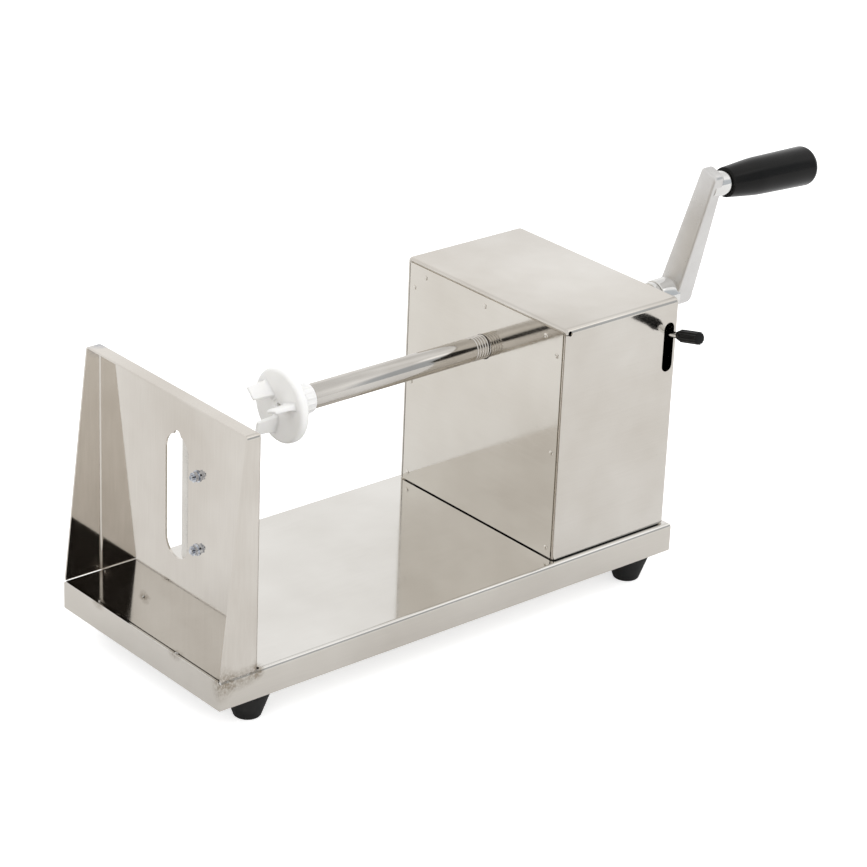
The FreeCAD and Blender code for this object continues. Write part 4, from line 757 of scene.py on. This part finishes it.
def makeSpring():
    s = spring
    low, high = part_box("clutch_spring")
    middle = (low + high) / 2
    height = s["high"] - s["low"] - 2 * s["wire"]
    mesh = bakeTree("returnSpring", coilTree(finishes["tubeSteel"]), {
        "Turns": float(s["turns"]), "Height": height / 1000, "Coil Radius": s["radius"] / 1000,
        "Wire Radius": s["wire"] / 1000, "Points Per Turn": s["turnPoints"]},
        place=Matrix.Translation((middle.x, middle.y, low.z + s["wire"] / 1000)))
    piece = addPiece("returnSpring", mesh, "frame", ["clutch_spring"])
    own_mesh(piece)
    print("spring done")


makeSpring()

# loose ring on the tube between boss and housing
stopRing = {"start": 494.7, "end": 499.2, "bore": 9.56, "radius": 12, "edge": 0.7}


def makeStopRing():
    r = stopRing
    outline = roundCorners([(r["start"], r["bore"]), (r["start"], r["radius"], r["edge"]),
                            (r["end"], r["radius"], r["edge"]), (r["end"], r["bore"])], 4)
    solidPiece("stopRing", turned(outline, axisBase, toTheCrank), "turnedAlloy", "carriage",
               ["stop_ring"])
    print("stop ring done")


makeStopRing()

# housing cover: one sheet over sides and top, folded in round both end panels
cover = {"start": 319.2, "end": 434.8, "half": 92.5, "low": 45.4, "foot": 44.5, "high": 235, "sheet": 1.5,
         "topFold": 4.2, "endFold": 2.4, "rim": 3.1, "seat": 1.35, "flange": 16, "slotAt": 425.9,
         "slotWidth": 10.4, "slotLow": 176, "slotHigh": 216.5, "reliefAt": 322.7, "reliefHeight": 231.4,
         "relief": 1.9, "slit": 0.7, "slitDrop": 1.2, "cutOutside": 2.5, "cutInside": 3.5,
         "reliefOutside": 2,
         "footGap": 3, "footFold": 3.4, "footRise": 1.1, "footSheet": 1.5, "footRoot": 1.9, "footBite": 0.3}


def sheetSection(c):
    # (x, depth below the outer face), right round the folded sheet
    s, e, seat, sheet = c["start"], c["end"], c["seat"], c["sheet"]
    inner = seat + sheet
    return roundCorners([
        (s, c["rim"], 0.4), (s, 0, c["endFold"]), (e, 0, c["endFold"]), (e, c["rim"], 0.4),
        (e - seat, c["rim"]), (e - seat, c["flange"]), (e - inner, c["flange"]), (e - inner, sheet, 1.0),
        (s + inner, sheet, 1.0), (s + inner, c["flange"]), (s + seat, c["flange"]), (s + seat, c["rim"])], 6)


def coverRings(c):
    section = sheetSection(c)
    fold = c["topFold"]
    frames = [("side", -1, c["low"]), ("side", -1, c["high"] - fold)]
    frames += [("corner", -1, math.radians(180 - 15 * k)) for k in range(1, 6)]
    frames += [("top", 0, -c["half"] + fold), ("top", 0, c["half"] - fold)]
    frames += [("corner", 1, math.radians(90 - 15 * k)) for k in range(1, 6)]
    frames += [("side", 1, c["high"] - fold), ("side", 1, c["low"])]
    rings = []
    for kind, side, value in frames:
        ring = []
        for x, depth in section:
            edge = c["half"] - depth
            if kind == "side":
                y, z = side * edge, min(value, c["high"] - max(depth, fold))
            elif kind == "top":
                limit = c["half"] - max(depth, fold)
                y, z = max(-limit, min(limit, value)), c["high"] - depth
            elif depth < fold:
                y = side * (c["half"] - fold) + (fold - depth) * math.cos(value)
                z = c["high"] - fold + (fold - depth) * math.sin(value)
            else:
                y, z = side * edge, c["high"] - depth
            ring.append(spot(x, y, z))
        rings.append(ring)
    return rings


def cutAway(piece, name, verts, faces):
    tool = bpy.data.objects.new(name, finishMesh(name, verts, faces, [finishes["housingSheet"]]))
    bpy.context.scene.collection.objects.link(tool)
    cut = piece.modifiers.new(name, "BOOLEAN")
    cut.object = tool
    cut.solver = "EXACT"
    return tool


def boxShape(low, high):
    xs, ys, zs = zip(low, high)
    rings = [[spot(x, ys[0], zs[0]), spot(x, ys[1], zs[0]), spot(x, ys[1], zs[1]), spot(x, ys[0], zs[1])]
             for x in xs]
    return skin(rings)


def makeCover():
    c = cover
    rough = bpy.data.objects.new("coverRough",
                                 finishMesh("coverRough", *skin(coverRings(c)), [finishes["housingSheet"]]))
    bpy.context.scene.collection.objects.link(rough)
    half = c["slotWidth"] / 2
    slot = []
    for centre, first in ((c["slotHigh"] - half, 0), (c["slotLow"] + half, 180)):
        slot += [(c["slotAt"] + u, centre + v) for u, v in arc(half, first, first + 180, 12)]
    dot = [(c["reliefAt"] + u, c["reliefHeight"] + v) for u, v in arc(c["relief"], 0, 345, 23)]
    through = (-c["half"] - c["cutOutside"], -c["half"] + c["cutInside"])
    tools = [cutAway(rough, "leverSlot", *skin([[spot(x, y, z) for x, z in slot] for y in through]))]
    slitLow = c["reliefHeight"] - c["slitDrop"]
    for side in (-1, 1):
        ends = (side * (c["half"] + c["reliefOutside"]), side * (c["half"] - c["cutInside"]))
        tools.append(cutAway(rough, "cornerRelief%d" % (side + 2),
                             *skin([[spot(x, y, z) for x, z in dot] for y in ends])))
        tools.append(cutAway(rough, "cornerSlit%d" % (side + 2),
                             *boxShape((c["start"] - 1, min(ends), slitLow),
                                       (c["reliefAt"], max(ends), slitLow + c["slit"]))))
    graph = bpy.context.evaluated_depsgraph_get()
    cutMesh = bpy.data.meshes.new_from_object(rough.evaluated_get(graph), depsgraph=graph)
    rough.modifiers.clear()
    for spare in [rough, *tools]:
        bpy.data.objects.remove(spare)
    # flanges on the tray: the fold leaves a dark crevice along the foot of each side
    feet = []
    low, inner, wall = c["foot"], c["half"] - c["flange"], c["half"] - c["sheet"] + c["footBite"]
    section = [(inner, low), (wall - c["footFold"], low), (wall, low + c["footRise"]),
               (wall, low + c["footRoot"]), (inner, low + c["footSheet"])]
    ends = (c["start"] + c["footGap"], c["end"] - c["footGap"])
    for side in (-1, 1):
        feet.append(skin([[spot(x, side * y, z) for y, z in section] for x in ends]))
    solidPiece("housingCover", joined(shapeOf(cutMesh), *feet), "housingSheet", "frame",
               ["housing_shell"], 35)
    print("housing cover done")


makeCover()

# front panel: its round hole hangs a little low on the tube
panel = {"start": 319.0, "end": 320.5, "half": 88.5, "low": 45.5, "high": 231, "hole": 9.95, "drop": 0.28,
         "segments": 120}


def makeFrontPanel():
    p = panel
    middle = tube["axisHeight"] - p["drop"]
    top, bottom = p["high"] - middle, p["low"] - middle
    corners = [math.atan2(z, y) % (2 * math.pi) for y in (-p["half"], p["half"]) for z in (bottom, top)]
    steps = [2 * math.pi * k / p["segments"] for k in range(p["segments"])]
    inner, outer = [], []
    for angle in sorted({round(a, 6) for a in steps + corners}):
        u, v = math.cos(angle), math.sin(angle)
        reach = min(p["half"] / max(abs(u), 1e-9), (top if v > 0 else -bottom) / max(abs(v), 1e-9))
        inner.append((p["hole"] * u, middle + p["hole"] * v))
        outer.append((reach * u, middle + reach * v))
    loops = ((outer, p["start"]), (inner, p["start"]), (inner, p["end"]), (outer, p["end"]))
    shape = skin([[spot(x, y, z) for y, z in loop] for loop, x in loops], loop=True)
    solidPiece("frontPanel", shape, "panelSheet", "frame", ["front_panel"])
    print("front panel done")


makeFrontPanel()

# slicing blade: screwed to the stand's back, bent away from the slot to a bevelled edge
blade = {"face": 34.0, "gauge": 1.2, "footEnd": -38.8, "bend": -13.8, "tip": 4.6, "reach": 6.2, "bevel": 3.2,
         "edge": 0.05, "thin": 0.8, "bendShift": 2.4, "low": 91.8, "high": 187.3}


def makeBlade():
    b = blade
    near, far = b["face"], b["face"] + b["gauge"]
    lift = Vector((b["reach"], b["tip"] - b["bend"])).normalized()
    edge = (near + b["reach"], b["tip"])
    shoulder = (edge[0] - lift.x * b["bevel"], edge[1] - lift.y * b["bevel"])
    section = [(near, b["footEnd"]), (far, b["footEnd"]), (far, b["bend"]), (edge[0] + b["edge"], edge[1]),
               edge, (shoulder[0] - b["thin"], shoulder[1]), (near, b["bend"] + b["bendShift"])]
    shape = skin([[spot(x, y, z) for x, y in section] for z in (b["low"], b["high"])])
    solidPiece("slicingBlade", shape, "bladeSteel", "frame", ["cutting_blade"], 8)
    print("blade done")


makeBlade()

# welds: beads where the stand stands on the tray, tacks along the end strip, and the open corner seam
welds = {"beads": [(34 - 1.05 * k, -97.1, 44.55, 0.45) for k in range(30)],
         "tacks": [(1.6, 53, 44.2, 0.9), (2.2, 54.3, 44.3, 0.8), (1.7, -43, 44.2, 0.9),
                   (2.2, -44.4, 44.3, 0.8), (1.0, -96.6, 43.9, 0.9), (1.8, -96.3, 44.4, 1.0),
                   (2.9, -96.6, 44.6, 0.8), (1.2, -96.8, 42.8, 0.8), (1.0, -96.7, 41.8, 0.6),
                   (32.2, 91, 45, 0.5), (32.2, 41, 45, 0.7), (32.2, -92, 45.2, 1.0), (31.4, -94, 45.2, 0.9)],
         "burnt": [(34.2, -96.4, 45.2, 0.9), (34.6, -95.6, 44.9, 0.8), (1.4, -94.8, 45.1, 0.8)],
         "seam": [(0.62, -97.1, 41.6 - 0.35 * k, 0.36) for k in range(57)],
         "ripple": 0.25, "seed": 7}


def weldTree(finish):
    # a small ball on each point, as large as its number says, rippled and turned at random
    tree, given = startTree("weldBeads", [("Ripple", "Float", 0.25), ("Seed", "Int", 1)])
    ball = addNode(tree, "GeometryNodeMeshIcoSphere", {"Subdivisions": 2, "Radius": 1.0})["Mesh"]
    smooth = addNode(tree, "GeometryNodeSetShadeSmooth", {"Geometry": ball})["Geometry"]
    size = addNode(tree, "GeometryNodeInputNamedAttribute", {"Name": "size"}, data_type="FLOAT")["Attribute"]
    low = maths(tree, "SUBTRACT", 1.0, given["Ripple"])
    high = maths(tree, "ADD", 1.0, given["Ripple"])
    ripple = addNode(tree, "FunctionNodeRandomValue", {"Min": low, "Max": high, "Seed": given["Seed"]},
                     data_type="FLOAT_VECTOR")["Value"]
    scale = addNode(tree, "ShaderNodeVectorMath", {0: ripple, "Scale": size}, operation="SCALE")["Vector"]
    turn = addNode(tree, "FunctionNodeRandomValue", {"Max": (6.28, 6.28, 6.28), "Seed": given["Seed"]},
                   data_type="FLOAT_VECTOR")["Value"]
    beads = addNode(tree, "GeometryNodeInstanceOnPoints", {
        "Points": given["Geometry"], "Instance": smooth, "Scale": scale, "Rotation": turn})["Instances"]
    return endTree(tree, beads, finish)


def makeWelds():
    for name, keys, finish in (("weldBeads", ("beads", "tacks"), "weldMetal"),
                               ("burntSeam", ("burnt", "seam"), "burntSeam")):
        beads = [bead for key in keys for bead in welds[key]]
        values = {"Ripple": welds["ripple"], "Seed": welds["seed"]}
        mesh = bakeTree(name, weldTree(finishes[finish]), values, [spot(x, y, z) for x, y, z, r in beads],
                        {"size": [r / 1000 for x, y, z, r in beads]})
        addPiece(name, mesh, "frame")
    print("welds done")


makeWelds()


# stage
view = {"place": (-1.465256, -1.62449, 1.1125), "yaw": -40.953, "pitch": 24.369, "roll": 2.447,
        "lens": 129.56, "sensor": 36, "clipEnd": 30}
light = {"soft": 1.14, "dim": 0.84, "bright": 1.07, "boxScale": 1.4, "floorReach": 6.0, "floorColour": 0.82,
         "floorRoughness": 0.9, "floorGlow": 0.62, "floorShine": 0.03}
# what polished metal meets in the room: direction, inner and outer angle in degrees, colour, strength, and
# after how many bounces: the dark end shows only where sheet is seen in sheet, as in the stand's corner
room = {"softBox": ((0.597, -0.471, 0.649), 4, 8, (1, 1, 1), 1.5, 0),
        "wall": ((0.597, -0.79, 0.139), 24, 33, (0.90, 0.95, 1), 0.60, 0),
        "darkEnd": ((-0.597, -0.688, 0.413), 13, 20, (1, 0.9, 0.85), 0.02, 3)}


def placeCamera():
    yaw, pitch, roll = (math.radians(view[key]) for key in ("yaw", "pitch", "roll"))
    back = Vector((math.sin(yaw) * math.cos(pitch), -math.cos(yaw) * math.cos(pitch), math.sin(pitch)))
    right = Vector((math.cos(yaw), math.sin(yaw), 0))
    up = back.cross(right)
    across = right * math.cos(roll) + up * math.sin(roll)
    above = up * math.cos(roll) - right * math.sin(roll)
    data = bpy.data.cameras.new("camera")
    data.lens = view["lens"]
    data.sensor_width = view["sensor"]
    data.clip_end = view["clipEnd"]
    camera = bpy.data.objects.new("camera", data)
    bpy.context.scene.collection.objects.link(camera)
    turn = Matrix((across, above, back)).transposed()
    camera.matrix_world = Matrix.Translation(view["place"]) @ turn.to_4x4()
    bpy.context.scene.camera = camera


def makeFloor():
    mesh = bpy.data.meshes.new("floor")
    reach = light["floorReach"]
    corners = [(-reach, -reach, 0), (reach, -reach, 0), (reach, reach, 0), (-reach, reach, 0)]
    mesh.from_pydata(corners, [], [(0, 1, 2, 3)])
    floor = bpy.data.objects.new("floor", mesh)
    bpy.context.scene.collection.objects.link(floor)
    mat, tree, shader = startMaterial("paleFloor")
    grey = light["floorColour"]
    path = addNode(tree, "ShaderNodeLightPath")
    glow = summed(tree, maths(tree, "MULTIPLY", path["Is Camera Ray"], light["floorGlow"]),
                  maths(tree, "MULTIPLY", path["Is Glossy Ray"], light["floorShine"]))
    fill(tree, shader, {"Base Color": (grey, grey, grey, 1), "Roughness": light["floorRoughness"],
                        "Emission Color": (1, 1, 1, 1), "Emission Strength": glow})
    mesh.materials.append(mat)


def makeWorld():
    world = bpy.data.worlds.new("studio")
    world.use_nodes = True
    tree = world.node_tree
    tree.nodes.clear()
    path = addNode(tree, "ShaderNodeLightPath")
    facing = addNode(tree, "ShaderNodeTexCoord")["Generated"]
    # polished metal sees broad soft fields, a little brighter and dimmer than the backdrop
    boxes = noiseOn(tree, facing, light["boxScale"], 1.0, 0.4)
    colour = rangeOf(tree, boxes, light["dim"], light["bright"], 0.36, 0.62)
    for direction, inner, outer, tint, strength, bounces in room.values():
        inputs = {0: facing, 1: Vector(direction).normalized()}
        toward = addNode(tree, "ShaderNodeVectorMath", inputs, operation="DOT_PRODUCT")["Value"]
        edge = rangeOf(tree, toward, 0, 1, math.cos(math.radians(outer)), math.cos(math.radians(inner)))
        late = maths(tree, "GREATER_THAN", path["Ray Depth"], bounces - 0.5)
        share = maths(tree, "MULTIPLY", edge, late)
        colour = mixed(tree, share, colour, [strength * part for part in tint])
    white = {"Color": (1, 1, 1, 1)}
    soft = addNode(tree, "ShaderNodeBackground", {**white, "Strength": light["soft"]})["Background"]
    backdrop = addNode(tree, "ShaderNodeBackground", white)["Background"]
    studio = addNode(tree, "ShaderNodeBackground", {"Color": colour})["Background"]
    glossy = {"Fac": path["Is Glossy Ray"], 1: soft, 2: studio}
    shine = addNode(tree, "ShaderNodeMixShader", glossy)["Shader"]
    clear = maths(tree, "MAXIMUM", path["Is Camera Ray"], path["Is Transmission Ray"])
    whole = addNode(tree, "ShaderNodeMixShader", {"Fac": clear, 1: shine, 2: backdrop})["Shader"]
    addNode(tree, "ShaderNodeOutputWorld", {"Surface": whole})
    bpy.context.scene.world = world


placeCamera()
makeFloor()
makeWorld()
bpy.context.scene.view_settings.view_transform = "Standard"
print("stage done")
